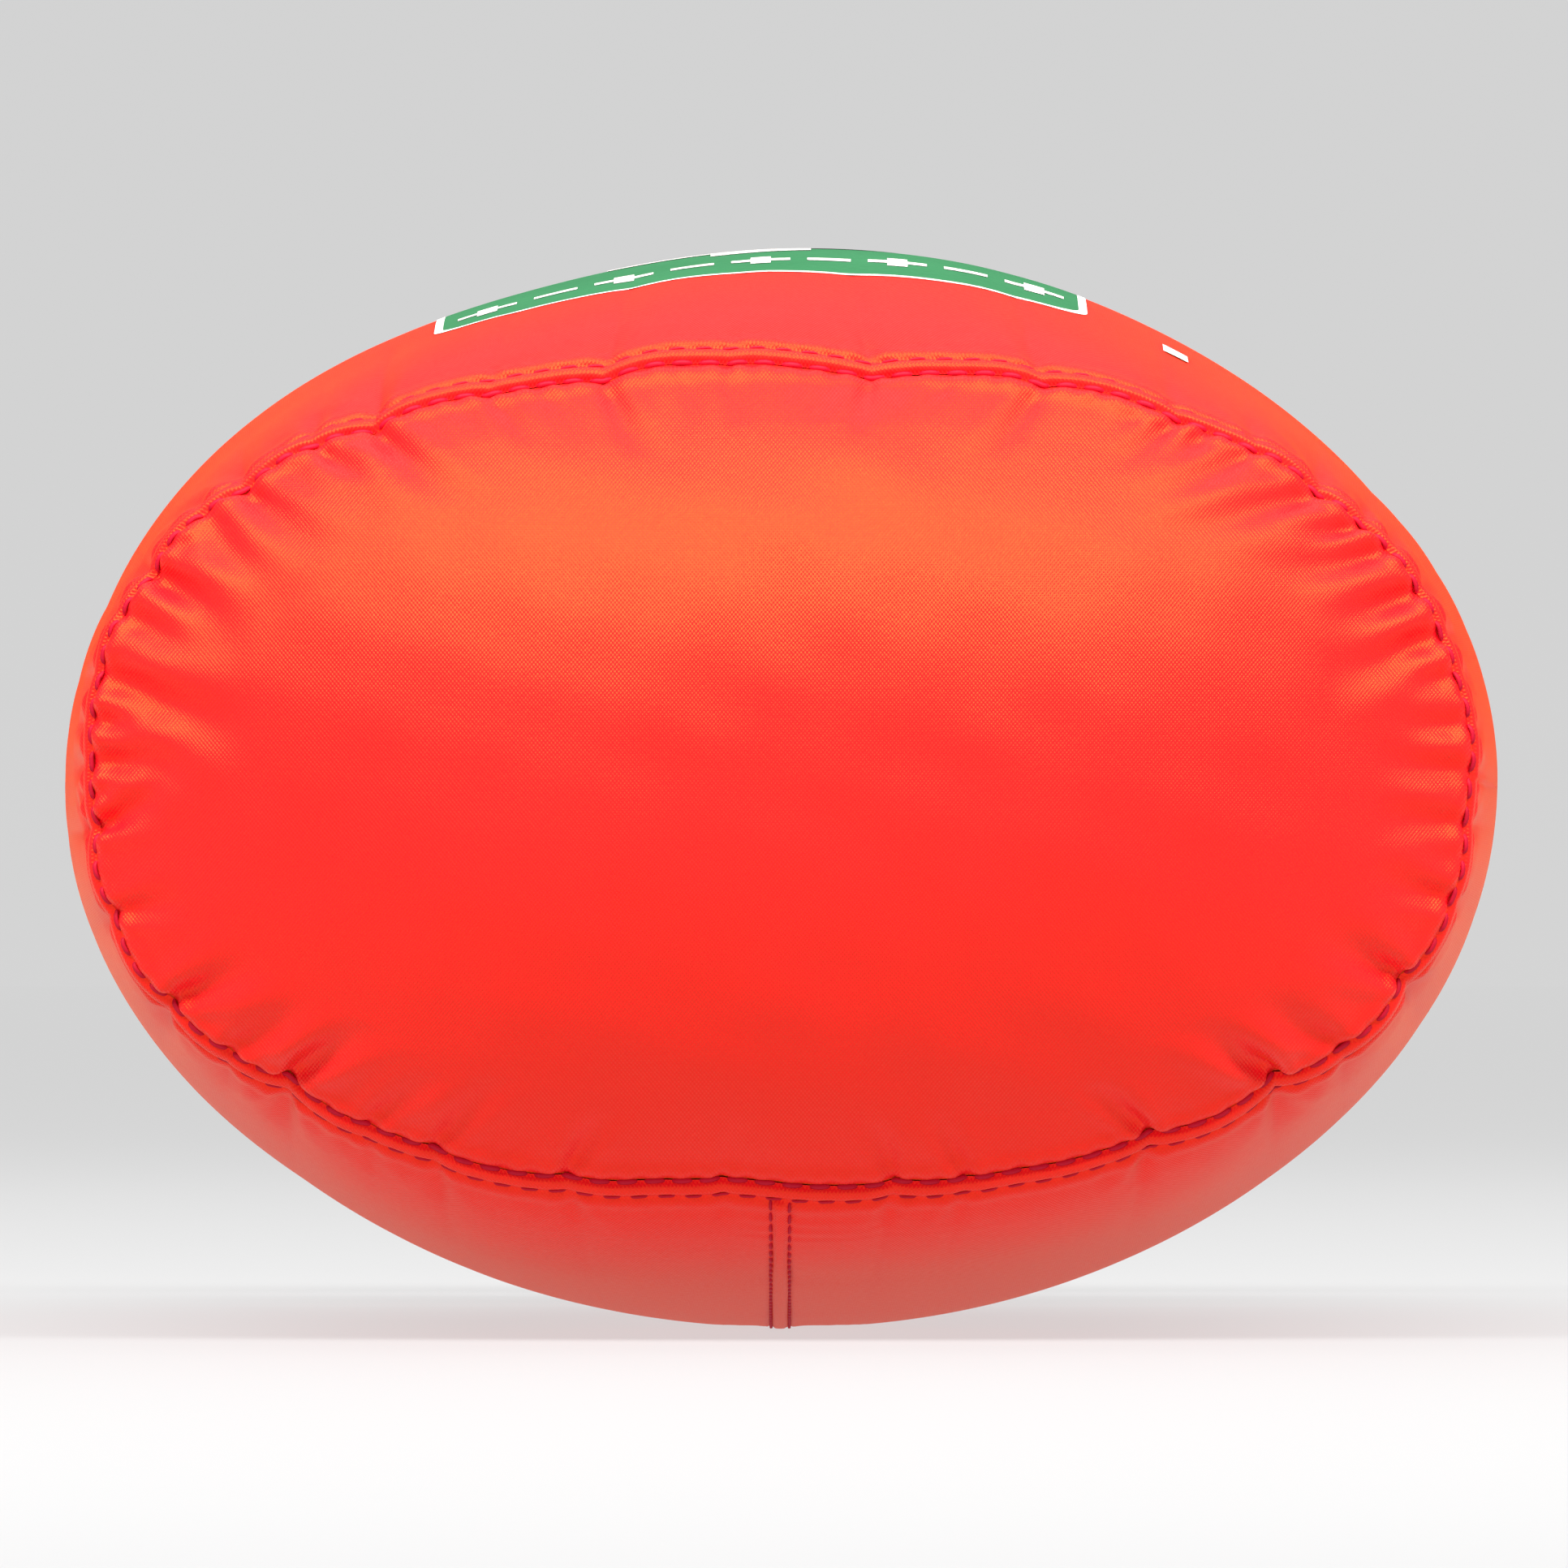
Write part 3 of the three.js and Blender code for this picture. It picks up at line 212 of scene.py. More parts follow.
class Nodes:
    """Short hand for building a material's node tree."""

    def __init__(self, material):
        self.tree = material.node_tree
        self.shader = self.tree.nodes["Principled BSDF"]

    def node(self, kind, **settings):
        made = self.tree.nodes.new(kind)
        for key, value in settings.items():
            setattr(made, key, value)
        return made

    def link(self, source, target):
        self.tree.links.new(source, target)

    def math(self, operation, a, b=None):
        made = self.node("ShaderNodeMath", operation=operation)
        for socket, value in zip(made.inputs, (a, b)):
            if value is None:
                continue
            if isinstance(value, (int, float)):
                socket.default_value = value
            else:
                self.link(value, socket)
        return made.outputs[0]

    def cloth_coordinates(self):
        """Flat coordinates of the cloth in millimetres, as separate sockets."""
        attribute = self.node("ShaderNodeAttribute", attribute_name="cloth")
        split = self.node("ShaderNodeSeparateXYZ")
        self.link(attribute.outputs["Vector"], split.inputs[0])
        return attribute.outputs["Vector"], split.outputs[0], split.outputs[1]

    def object_coordinates(self):
        return self.node("ShaderNodeTexCoord").outputs["Object"]

    def noise(self, vector, scale, detail=3.0):
        made = self.node("ShaderNodeTexNoise")
        made.inputs["Scale"].default_value = scale
        made.inputs["Detail"].default_value = detail
        self.link(vector, made.inputs["Vector"])
        return made.outputs["Fac"]

    def mix_color(self, factor, first, second):
        made = self.node("ShaderNodeMix", data_type="RGBA")
        self.link(factor, made.inputs["Factor"])
        for socket, value in ((made.inputs["A"], first), (made.inputs["B"], second)):
            if isinstance(value, tuple):
                socket.default_value = (*value, 1)
            else:
                self.link(value, socket)
        return made.outputs["Result"]

    def bump(self, height, strength, distance):
        made = self.node("ShaderNodeBump")
        made.inputs["Strength"].default_value = strength
        made.inputs["Distance"].default_value = distance
        self.link(height, made.inputs["Height"])
        self.link(made.outputs[0], self.shader.inputs["Normal"])
        return made


def woven_material(name, dark, light, pitch, roughness, strength=0.35, weft_pitch=None, **inputs):
    """Plain weave over the cloth's own coordinates, with slow colour drift and scattered slubs."""
    material = new_material(name, light, roughness, **inputs)
    n = Nodes(material)
    vector, u, v = n.cloth_coordinates()
    warp = n.math("SINE", n.math("MULTIPLY", u, 2 * math.pi / pitch))
    weft = n.math("SINE", n.math("MULTIPLY", v, 2 * math.pi / (weft_pitch or pitch)))
    weave = n.math("MULTIPLY_ADD", n.math("MULTIPLY", warp, weft), 0.5)
    weave.node.inputs[2].default_value = 0.5
    drift = n.noise(vector, 0.03)
    slub = n.noise(vector, 1.3, 1.0)
    tone = n.math("ADD", n.math("MULTIPLY", weave, 0.4), n.math("MULTIPLY", drift, 0.6))
    n.link(n.mix_color(tone, dark, light), n.shader.inputs["Base Color"])
    height = n.math("ADD", weave, n.math("MULTIPLY", slub, 0.6))
    n.bump(height, strength, pitch / 1000 * 0.35)
    worn = n.math("ADD", n.math("MULTIPLY", slub, 0.12), roughness - 0.06)
    n.link(worn, n.shader.inputs["Roughness"])
    return material


def grained_material(name, dark, light, scale, roughness, strength=0.2, **inputs):
    """Even material with fine grain, a little colour drift and uneven polish."""
    material = new_material(name, light, roughness, **inputs)
    n = Nodes(material)
    place = n.object_coordinates()
    drift = n.noise(place, scale * 0.06)
    grain = n.noise(place, scale, 4.0)
    n.link(n.mix_color(drift, dark, light), n.shader.inputs["Base Color"])
    n.bump(grain, strength, 0.0001)
    polish = n.math("ADD", n.math("MULTIPLY", grain, 0.15), roughness - 0.07)
    n.link(polish, n.shader.inputs["Roughness"])
    return material


RED_CLOTH = woven_material(
    "red_cloth",
    (0.84, 0.002, 0.014),
    (0.94, 0.004, 0.019),
    pitch=0.50,
    weft_pitch=0.60,
    roughness=0.44,
    IOR=1.7,
    Specular_IOR_Level=0.42,
    Specular_Tint=(1.0, 0.56, 0.04, 1),
    Sheen_Weight=0.3,
    Sheen_Roughness=0.3,
    Sheen_Tint=(1.0, 0.32, 0.0, 1),
)
THREAD = grained_material(
    "red_thread", (0.40, 0.001, 0.016), (0.52, 0.001, 0.024), 2500, 0.6, Specular_IOR_Level=0.2
)
PRINT_GREEN = grained_material(
    "print_green", (0.022, 0.15, 0.055), (0.034, 0.19, 0.075), 900, 0.6, Specular_IOR_Level=0.2
)
PRINT_WHITE = grained_material(
    "print_white", (0.72, 0.66, 0.62), (0.80, 0.74, 0.70), 900, 0.6, Specular_IOR_Level=0.2
)
SEAM_TAPE = grained_material(
    "seam_tape", (0.55, 0.55, 0.52), (0.68, 0.68, 0.65), 500, 0.4, Transmission_Weight=0.15
)
WEBBING = woven_material(
    "webbing", (0.010, 0.010, 0.012), (0.045, 0.045, 0.05), pitch=1.3, roughness=0.75, strength=0.8
)
PLASTIC = grained_material(
    "black_plastic", (0.012, 0.012, 0.014), (0.028, 0.028, 0.030), 1600, 0.38
)
STRIP = grained_material("grey_strip", (0.05, 0.05, 0.055), (0.08, 0.08, 0.09), 900, 0.5)
ELASTIC = woven_material(
    "elastic_crepe", (0.52, 0.38, 0.24), (0.78, 0.64, 0.46), pitch=1.1, roughness=0.9, strength=0.9
)
COTTON = woven_material(
    "cotton_gauze", (0.66, 0.64, 0.60), (0.88, 0.87, 0.83), pitch=0.9, roughness=0.95, strength=0.8
)
FOIL = grained_material(
    "gold_foil", (0.62, 0.45, 0.16), (0.85, 0.70, 0.36), 180, 0.22, strength=0.9, Metallic=1.0
)
WRAPPER = grained_material("wrapper", (0.66, 0.74, 0.82), (0.82, 0.86, 0.90), 700, 0.45)
PAPER = grained_material("paper", (0.80, 0.79, 0.75), (0.90, 0.89, 0.86), 900, 0.8)
NITRILE = grained_material("nitrile", (0.07, 0.16, 0.42), (0.12, 0.24, 0.56), 700, 0.5)
PLASTER = woven_material(
    "plaster", (0.50, 0.30, 0.18), (0.72, 0.46, 0.30), pitch=0.8, roughness=0.8
)
SPOOL = grained_material("spool", (0.66, 0.42, 0.28), (0.74, 0.50, 0.34), 1200, 0.4)
STEEL = grained_material(
    "steel", (0.48, 0.49, 0.51), (0.62, 0.63, 0.65), 1400, 0.24, Metallic=1.0
)


# ------ base seam
def superellipse(angle, half_x, half_z, squareness):
    c, s = np.cos(angle), np.sin(angle)
    power = 2 / squareness
    x = half_x * np.sign(c) * np.abs(c) ** power
    z = half_z * np.sign(s) * np.abs(s) ** power
    return x, z


FINE_ANGLES = np.linspace(0, 2 * math.pi, 7201)
fine_x, fine_z = superellipse(FINE_ANGLES, SEAM_X, SEAM_Z, SEAM_SQUARENESS)
fine_steps = np.hypot(np.diff(fine_x), np.diff(fine_z))
FINE_TRAVEL = np.concatenate([[0], np.cumsum(fine_steps)])
SEAM_LENGTH = FINE_TRAVEL[-1]
FINE_CLOCK = np.unwrap(np.arctan2(fine_z, fine_x))
COLUMNS = 840
TRAVEL = np.arange(COLUMNS) / COLUMNS * SEAM_LENGTH  # each column's place along the seam
ANGLES = np.interp(TRAVEL, FINE_TRAVEL, FINE_ANGLES)


def travel_at(clock):
    """Place along the seam of a direction in degrees from +X, as seen from the centre."""
    return np.interp(math.radians(clock % 360), FINE_CLOCK, FINE_TRAVEL)


# Main puckers of the base. Each one: direction in degrees, length over the cloth,
# depth, lean, and how far it draws the stitch line in.
PUCKERS = [
    (0.4, 11, 0.8, 0.1, 0.3),
    (4.2, 9, 0.6, 0.0, 0.2),
    (8.5, 8, 0.5, 0.0, 0.2),
    (12.2, 15, 1.3, -0.2, 0.6),
    (16.4, 13, 1.1, -0.2, 0.7),
    (20.5, 13, 0.9, 0.1, 0.4),
    (23.5, 8, 0.8, 0.1, 1.0),
    (28.0, 15, 0.8, 0.2, 1.9),
    (34.5, 11, 0.5, 0.1, 0.5),
    (42.0, 9, 0.3, 0.0, 0.7),
    (56.0, 10, 0.4, 0.0, 1.0),
    (77.0, 8, 0.45, 0.0, 0.6),
    (97.0, 7, 0.25, 0.0, 0.3),
    (113.6, 10, 0.6, 0.0, 1.0),
    (127.0, 8, 0.3, 0.0, 0.5),
    (138.9, 14, 0.9, 0.15, 2.2),
    (144.5, 8, 0.7, 0.0, 0.7),
    (151.5, 15, 0.9, 0.3, 1.4),
    (155.4, 17, 0.8, 0.5, 0.5),
    (161.8, 15, 1.6, 0.3, 1.7),
    (166.0, 16, 0.9, 0.2, 0.5),
    (171.4, 18, 1.6, 0.3, 0.5),
    (175.2, 9, 0.8, 0.1, 0.2),
    (178.8, 13, 1.1, 0.0, 0.3),
    (181.5, 8, 0.6, 0.0, 0.2),
    (184.5, 9, 1.4, -0.4, 1.6),
    (191.8, 9, 0.7, 0.0, 1.0),
    (200.6, 12, 1.2, -0.1, 1.2),
    (207.0, 14, 0.7, -0.1, 0.4),
    (212.5, 13, 1.6, -0.2, 2.6),
    (220.5, 10, 0.6, 0.0, 0.4),
    (227.4, 11, 0.7, -0.1, 1.0),
    (242.0, 8, 0.4, 0.0, 0.5),
    (262.0, 6, 0.2, 0.0, 0.5),
    (286.0, 7, 0.6, 0.0, 0.8),
    (295.0, 8, 0.5, 0.0, 0.4),
    (315.5, 9, 0.9, 0.0, 1.3),
    (328.0, 13, 1.5, 0.2, 2.3),
    (334.0, 13, 0.8, 0.1, 0.4),
    (341.8, 13, 1.2, 0.2, 1.9),
    (349.5, 10, 0.9, 0.1, 0.4),
    (356.0, 11, 0.8, 0.0, 0.3),
]
SMALL_PUCKERS = 96  # slight gathers between the main puckers


def around(offset):
    """Distance along the seam, taken the short way round."""
    return (offset + SEAM_LENGTH / 2) % SEAM_LENGTH - SEAM_LENGTH / 2


def pucker_field(travel, reach, length_share, depth_share, seed):
    """Height of all gathers at places along the seam (columns) and away from it (rows)."""
    source = np.random.default_rng(seed)
    height = np.zeros(np.broadcast(travel, reach).shape)
    listed = [(travel_at(clock), *shape, 0.16) for clock, *shape, _ in PUCKERS]
    for place in source.uniform(0, SEAM_LENGTH, SMALL_PUCKERS):
        length, depth = source.uniform(3, 8), source.uniform(0.06, 0.22)
        listed.append((place, length, depth, source.normal(0, 0.15), 0.2))
    for place, length, depth, lean, width_share in listed:
        length = length * length_share * 1.2
        width = 0.6 + width_share * length * (0.3 + reach / length)
        across = around(travel - place - lean * reach) / width
        share = np.clip(reach / length, 0, 1)
        fade = share**0.45 * (1 - share) ** 1.2 * 2.4
        valley = -bump_curve(across) + 0.55 * bump_curve(across - 1.5) + 0.55 * bump_curve(across + 1.5)
        height = height + depth * depth_share * fade * valley
    return height


def seam_dips(travel):
    """How far the stitch line is drawn in at each place."""
    dip = 0.28 * ripple(travel, 0 * travel, 46, 3) + 0.1 * ripple(travel, 0 * travel, 13, 5)
    for clock, *_, drawn in PUCKERS:
        across = around(travel - travel_at(clock))
        dip = dip + drawn * np.exp(-np.abs(across) / (1.2 + 1.6 * drawn))
    return dip


SEAM_DIPS = seam_dips(TRAVEL)


def seam_line():
    """Stitch line of the base, one point for each column."""
    x, z = superellipse(ANGLES, SEAM_X, SEAM_Z, SEAM_SQUARENESS)
    along_x = np.roll(x, -1) - np.roll(x, 1)
    along_z = np.roll(z, -1) - np.roll(z, 1)
    length = np.hypot(along_x, along_z)
    x = x - along_z / length * SEAM_DIPS
    z = z + along_x / length * SEAM_DIPS
    y = np.full_like(x, SEAM_Y) + 0.35 * SEAM_DIPS
    return np.stack([x, y, z + SEAM_CENTRE_Z], -1)


SEAM_LINE = seam_line()


# ------ base panel
BASE_NEAR = 22  # rows of the base stand close together up to this reach


def base_panel():
    """Domed base: rows run from the stitch line to the middle."""
    near = np.concatenate([np.linspace(0, 3, 11), np.linspace(3.35, BASE_NEAR, 50)])
    far = np.linspace(0, 1, 46)[1:] ** 0.92
    x, z = superellipse(ANGLES, SEAM_X, SEAM_Z, SEAM_SQUARENESS)
    radius = np.hypot(x, z)
    inner = BASE_NEAR / radius
    near_share = 1 - near[:, None] / radius
    far_share = (1 - inner) * (1 - far[:, None] * 0.985)
    share = np.concatenate([near_share, far_share])
    reach = (1 - share) * radius
    smooth = np.stack([x, np.full_like(x, SEAM_Y), z + SEAM_CENTRE_Z], -1)
    drawn_in = (SEAM_LINE - smooth)[None] * np.clip(1 - reach / 13, 0, 1)[..., None] ** 2
    rise = 1 - share**DOME_POWER
    grid = np.stack([share * x, SEAM_Y - DOME * rise, SEAM_CENTRE_Z + share * z], -1) + drawn_in
    normals = -grid_normals(grid)
    gathers = pucker_field(TRAVEL[None, :], reach, 1.0, 1.0, 11)
    slack = 0.35 * ripple(grid[..., 0], grid[..., 2], 60, 21)
    slack = slack + 0.05 * ripple(grid[..., 0], grid[..., 2], 11, 23)
    slack = slack * np.clip(reach / 8, 0, 1)
    crease = -CREASE * bump_curve(reach / CREASE_WIDTH)
    plump = 0.35 * bump_curve((reach - 1.3) / 0.9)
    stitch_wave = np.cos(2 * math.pi * TRAVEL / STITCH_PITCH)[None, :]
    scallop = 0.12 * stitch_wave * bump_curve((reach - 0.8) / 0.8)
    grid = grid + normals * (gathers + slack + crease + plump - scallop)[..., None]
    cloth = np.stack([grid[..., 0], grid[..., 2], 0 * reach], -1)
    return closed_dome(grid, normals, cloth)


def closed_dome(grid, normals, cloth):
    """Closes a dome's two faces into one shell, with a fan at the middle of each."""
    rows, columns = grid.shape[:2]
    inside = grid - normals * CLOTH
    both = np.concatenate([inside[::-1], grid])
    both_cloth = np.concatenate([cloth[::-1], cloth])
    faces = grid_faces(2 * rows, columns, wrap_columns=True)
    points = both.reshape(-1, 3)
    poles = np.array([both[0].mean(0), both[-1].mean(0)])
    pole_cloth = np.array([both_cloth[0].mean(0), both_cloth[-1].mean(0)])
    first = len(points)
    last_row = (2 * rows - 1) * columns
    for c in range(columns):
        d = (c + 1) % columns
        faces.append([first, d, c])
        faces.append([first + 1, last_row + c, last_row + d])
    points = np.concatenate([points, poles])
    flat_cloth = np.concatenate([both_cloth.reshape(-1, 3), pole_cloth])
    return make_object("base_cloth", points, faces, [RED_CLOTH], flat_cloth)


# ------ wall
WALL_NEAR = 12  # rows of the wall stand close together up to this reach
BACK_WINDOW = np.arange(-12, 13)  # columns either side of the back seam
FRONT_WINDOW = np.arange(-170, 171)  # columns either side of the middle of the front


def loop_at(distance, outward=0.0):
    """Point and inward direction along the carrying loop, at signed distances from its middle."""
    distance = np.asarray(distance, dtype=float)
    side = np.where(distance < 0, -1.0, 1.0)
    travel = np.abs(distance)
    angle = np.clip((travel - TURN_X) / TURN_RADIUS, 0, math.pi)
    tail = np.maximum(travel - TURN_X - math.pi * TURN_RADIUS, 0)
    x = np.minimum(travel, TURN_X) + TURN_RADIUS * np.sin(angle) - tail
    y = ROLL_Y + TURN_RADIUS * (1 - np.cos(angle))
    inward = np.stack([-side * np.sin(angle), np.cos(angle)], -1)
    return side * x - inward[..., 0] * outward, y - inward[..., 1] * outward, inward


def mouth_line(angle):
    """Where the wall meets the underside of the roll, and the direction into the loop."""
    top = np.sin(angle) >= 0
    folded = np.where(top, angle % (2 * math.pi), (2 * math.pi - angle) % (2 * math.pi))
    share = 1 - 2 * folded / math.pi
    rounded = np.sqrt(np.maximum(0, 1 - np.abs(share) ** 24))
    x, y, inward = loop_at(share * (TURN_X + TURN_RADIUS * NECK_WRAP), ROLL_HALF + 0.6)
    z = ROLL_Z - NECK_DROP + np.where(top, 1, -1) * NECK_HALF_GAP * rounded
    return np.stack([x, y, z], -1), inward


def bezier(a, b, c, d, t):
    t = t[..., None]
    u = 1 - t
    return u**3 * a + 3 * u**2 * t * b + 3 * u * t**2 * c + t**3 * d


def wall_surface(along):
    """Smooth wall for each column at stations 0 (seam) to 1 (girth) to 2 (mouth)."""
    girth_x, girth_z = superellipse(ANGLES, GIRTH_X, GIRTH_Z, 2)
    girth = np.stack([girth_x, np.full_like(girth_x, GIRTH_Y), GIRTH_Z + girth_z], -1)
    flare = SEAM_LINE * (1 - FLARE_SHARE) + girth * FLARE_SHARE
    flare[:, 1] = SEAM_LINE[:, 1] + FLARE_DEPTH
    before = girth.copy()
    before[:, 1] = (SEAM_Y + GIRTH_Y) / 2
    mouth, inward = mouth_line(ANGLES)
    after = girth.copy()
    after[:, 1] = GIRTH_Y + (ROLL_Y - GIRTH_Y) * 0.38
    pull = mouth.copy()
    pull[:, 0] -= inward[:, 0] * NECK_RUN
    pull[:, 1] -= inward[:, 1] * NECK_RUN * 2
    lower = bezier(SEAM_LINE, flare, before, girth, np.clip(along, 0, 1))
    upper = bezier(girth, after, pull, mouth, np.clip(along - 1, 0, 1))
    return np.where((along <= 1)[..., None], lower, upper)


def wall_grid():
    """Points, reaches and normals of the finished wall."""
    stations = np.linspace(0, 2, 501)
    coarse = wall_surface(np.repeat(stations[:, None], COLUMNS, 1))
    steps = np.linalg.norm(np.diff(coarse, axis=0), axis=-1)
    travelled = np.concatenate([np.zeros((1, COLUMNS)), np.cumsum(steps, axis=0)])
    near = np.concatenate([np.linspace(0, 3.6, 19), np.linspace(3.9, WALL_NEAR, 22)])
    far = np.linspace(0, 1, 96)[1:]
    beyond = WALL_NEAR + far[:, None] * (travelled[-1] - WALL_NEAR)
    reach = np.concatenate([np.repeat(near[:, None], COLUMNS, 1), beyond])
    along = np.stack([np.interp(reach[:, c], travelled[:, c], stations) for c in range(COLUMNS)], 1)
    grid = wall_surface(along)
    normals = grid_normals(grid)
    travel = np.repeat(TRAVEL[None, :], len(grid), 0)

    band = BAND_RISE * (step_down(reach - BAND + 0.35, 0.12) - step_down(reach - 0.45, 0.12))
    stitched = 0.75 + 0.25 * np.cos(2 * math.pi * TRAVEL / STITCH_PITCH)[None, :]
    creases = CREASE * (
        bump_curve(reach / CREASE_WIDTH) + 0.8 * bump_curve((reach - BAND) / CREASE_WIDTH)
    )
    plump = 0.22 * bump_curve((reach - BAND - 1.3) / 0.9)
    gathers = pucker_field(travel, np.maximum(reach - BAND, 0), 0.8, 0.45, 31)
    slack = 0.45 * ripple(grid[..., 0], grid[..., 1] + grid[..., 2], 70, 41)
    slack = slack * np.clip(reach / 30, 0, 1)
    slack = slack * np.clip((2 - along) * 3, 0, 1)
    # The gathered shoulders: soft folds that run towards the roll.
    shoulder = np.clip((along - 1.15) / 0.6, 0, 1) * np.clip((2 - along) * 6, 0, 1)
    folds = 0.9 * ripple(travel, reach * 0.12, 21, 43) + 0.35 * ripple(travel, reach * 0.1, 9, 47)
    height = band - creases * stitched + plump + gathers + slack + folds * shoulder
    height = height + back_seam_height(grid, reach)
    grid = grid + normals * height[..., None]
    lowest = -BAND_RISE * bump_curve((grid[..., 0] - BACK_SEAM_X) / 2)
    clear_of_seam = reach > WALL_NEAR / 2
    grid[..., 2] = np.where(clear_of_seam, np.maximum(grid[..., 2], lowest), grid[..., 2])
    return grid, reach, along, grid_normals(grid)


def back_seam_height(grid, reach):
    """Felled back seam along the underside, with the fine tucks beside it."""
    x = grid[..., 0] - BACK_SEAM_X
    under = grid[..., 2] < ROLL_Z - NECK_DROP
    edge = BACK_SEAM_HALF
    band = BAND_RISE * step_down(np.abs(x) - edge + 0.25, 0.1)
    creases = 0.3 * bump_curve((np.abs(x) - edge) / 0.35)
    beside = np.clip(np.abs(x) - edge, 0, None)
    tucks = 0.06 * np.cos(2 * math.pi * grid[..., 1] / 1.9 + 1.4 * np.sin(grid[..., 1] / 5))
    tucks = tucks * np.exp(-beside / np.where(x > 0, 5.5, 2.0)) * (beside > 0)
    start = np.clip((reach - BAND) / 0.6, 0, 1)
    return (band - creases + tucks) * under * start


WALL_GRID, WALL_REACH, WALL_ALONG, WALL_NORMALS = wall_grid()


def wall_at(travel, reach):
    """Points and normals of the finished wall at places near the base seam."""
    column = (np.asarray(travel) / SEAM_LENGTH * COLUMNS) % COLUMNS
    row = np.interp(reach, WALL_REACH[:, 0], np.arange(len(WALL_REACH)))
    c0 = np.floor(column).astype(int) % COLUMNS
    r0 = np.minimum(np.floor(row).astype(int), len(WALL_REACH) - 2)
    fc = (column - np.floor(column))[..., None]
    fr = (row - r0)[..., None]
    found = []
    for field in (WALL_GRID, WALL_NORMALS):
        low = field[r0, c0] * (1 - fc) + field[r0, (c0 + 1) % COLUMNS] * fc
        high = field[r0 + 1, c0] * (1 - fc) + field[r0 + 1, (c0 + 1) % COLUMNS] * fc
        found.append(low * (1 - fr) + high * fr)
    return found[0], unit(found[1])


def column_at(clock):
    """Column of the wall in a direction in degrees from +X."""
    return int(round(travel_at(clock) / SEAM_LENGTH * COLUMNS))


def wall_half(name, side):
    """One half of the wall, cut where X is zero."""
    start = column_at(-90 if side > 0 else 90)
    picked = (start + np.arange(COLUMNS // 2 + 1)) % COLUMNS
    outer = WALL_GRID[:, picked]
    normals = WALL_NORMALS[:, picked]
    inner = outer - normals * CLOTH
    travel = TRAVEL[picked]
    cloth = np.stack([np.repeat(travel[None, :], len(outer), 0), WALL_REACH[:, picked]], -1)
    cloth = np.concatenate([cloth, np.zeros((*cloth.shape[:2], 1))], -1)
    grid = np.concatenate([inner, outer[::-1]])
    both_cloth = np.concatenate([cloth, cloth[::-1]])
    rows, columns = grid.shape[:2]
    faces = grid_faces(rows, columns, wrap_rows=True)
    for r in range(rows // 2 - 1):
        edge = [r * columns, (r + 1) * columns, (rows - 2 - r) * columns, (rows - 1 - r) * columns]
        faces.append(edge)
        faces.append([place + columns - 1 for place in reversed(edge)])
    half = make_object(name, grid.reshape(-1, 3), faces, [RED_CLOTH], both_cloth.reshape(-1, 3))
    shading = np.concatenate([-normals, normals[::-1]]).reshape(-1, 3)
    half.data.normals_split_custom_set_from_vertices(shading.tolist())
    return half


TAPE_WIDTH = 16  # of the tapes that seal the seams inside
TAPE_THICKNESS = 0.2
TAPE_END = TAPE_WIDTH / 2 + BAND / 2  # where the base tape ends and the back tape starts


def tape_object(name, outer, normals, wrap_columns):
    """Thin tape just inside the cloth, from a patch of the wall's outer face."""
    near = outer - normals * (CLOTH + 0.1)
    far = near - normals * TAPE_THICKNESS
    grid = np.concatenate([far, near[::-1]])
    return grid_object(name, grid, [SEAM_TAPE], wrap_rows=True, wrap_columns=wrap_columns)


def base_tape():
    rows = np.flatnonzero((WALL_REACH[:, 0] > 0.6) & (WALL_REACH[:, 0] < TAPE_END))
    return tape_object("base_tape", WALL_GRID[rows], WALL_NORMALS[rows], True)


def back_tape():
    columns = (column_at(-90) + BACK_WINDOW) % COLUMNS
    rows = np.flatnonzero((WALL_REACH[:, 0] > TAPE_END) & (WALL_ALONG[:, 0] < 1.8))
    patch = np.ix_(rows, columns)
    return tape_object("back_tape", WALL_GRID[patch], WALL_NORMALS[patch], False)


# ------ stitches
# Length, width and height of one stitch of each row.
INNER_STITCH = (2.9, 0.72, 0.5)
OUTER_STITCH = (2.5, 0.42, 0.36)
BACK_STITCH = (2.0, 0.4, 0.34)
BACK_STITCH_PITCH = 2.6
OUTER_SHIFT = 1.1  # the two rows of the base seam aren't in step


def stitch_row(name, places, locate, length, width, height):
    """Separate stitches along a line. `locate` gives points and normals at places along it."""
    stations = np.linspace(-1, 1, 9)
    sides = np.linspace(0, 2 * math.pi, 8, endpoint=False)
    points = []
    faces = []
    for place in places:
        along = place + stations * length / 2
        centre, normal = locate(along)
        tangent = unit(np.gradient(centre, axis=0))
        across = unit(np.cross(tangent, normal))
        taper = np.sqrt(np.maximum(1 - stations**4, 0.02))[:, None]
        arch = (height * (0.55 - stations**4))[:, None]
        line = centre + normal * arch
        first = len(points) * len(stations) * len(sides)
        ring = [
            line + (across * math.cos(a) * width / 2 + normal * math.sin(a) * height / 2) * taper
            for a in sides
        ]
        points.append(np.stack(ring, 1))
        quads = grid_faces(len(stations), len(sides), wrap_columns=True)
        faces.extend([[i + first for i in quad] for quad in quads])
        last = first + (len(stations) - 1) * len(sides)
        faces.append([first + i for i in range(len(sides))])
        faces.append([last + i for i in reversed(range(len(sides)))])
    stacked = np.concatenate([p.reshape(-1, 3) for p in points])
    return make_object(name, stacked, faces, [THREAD])


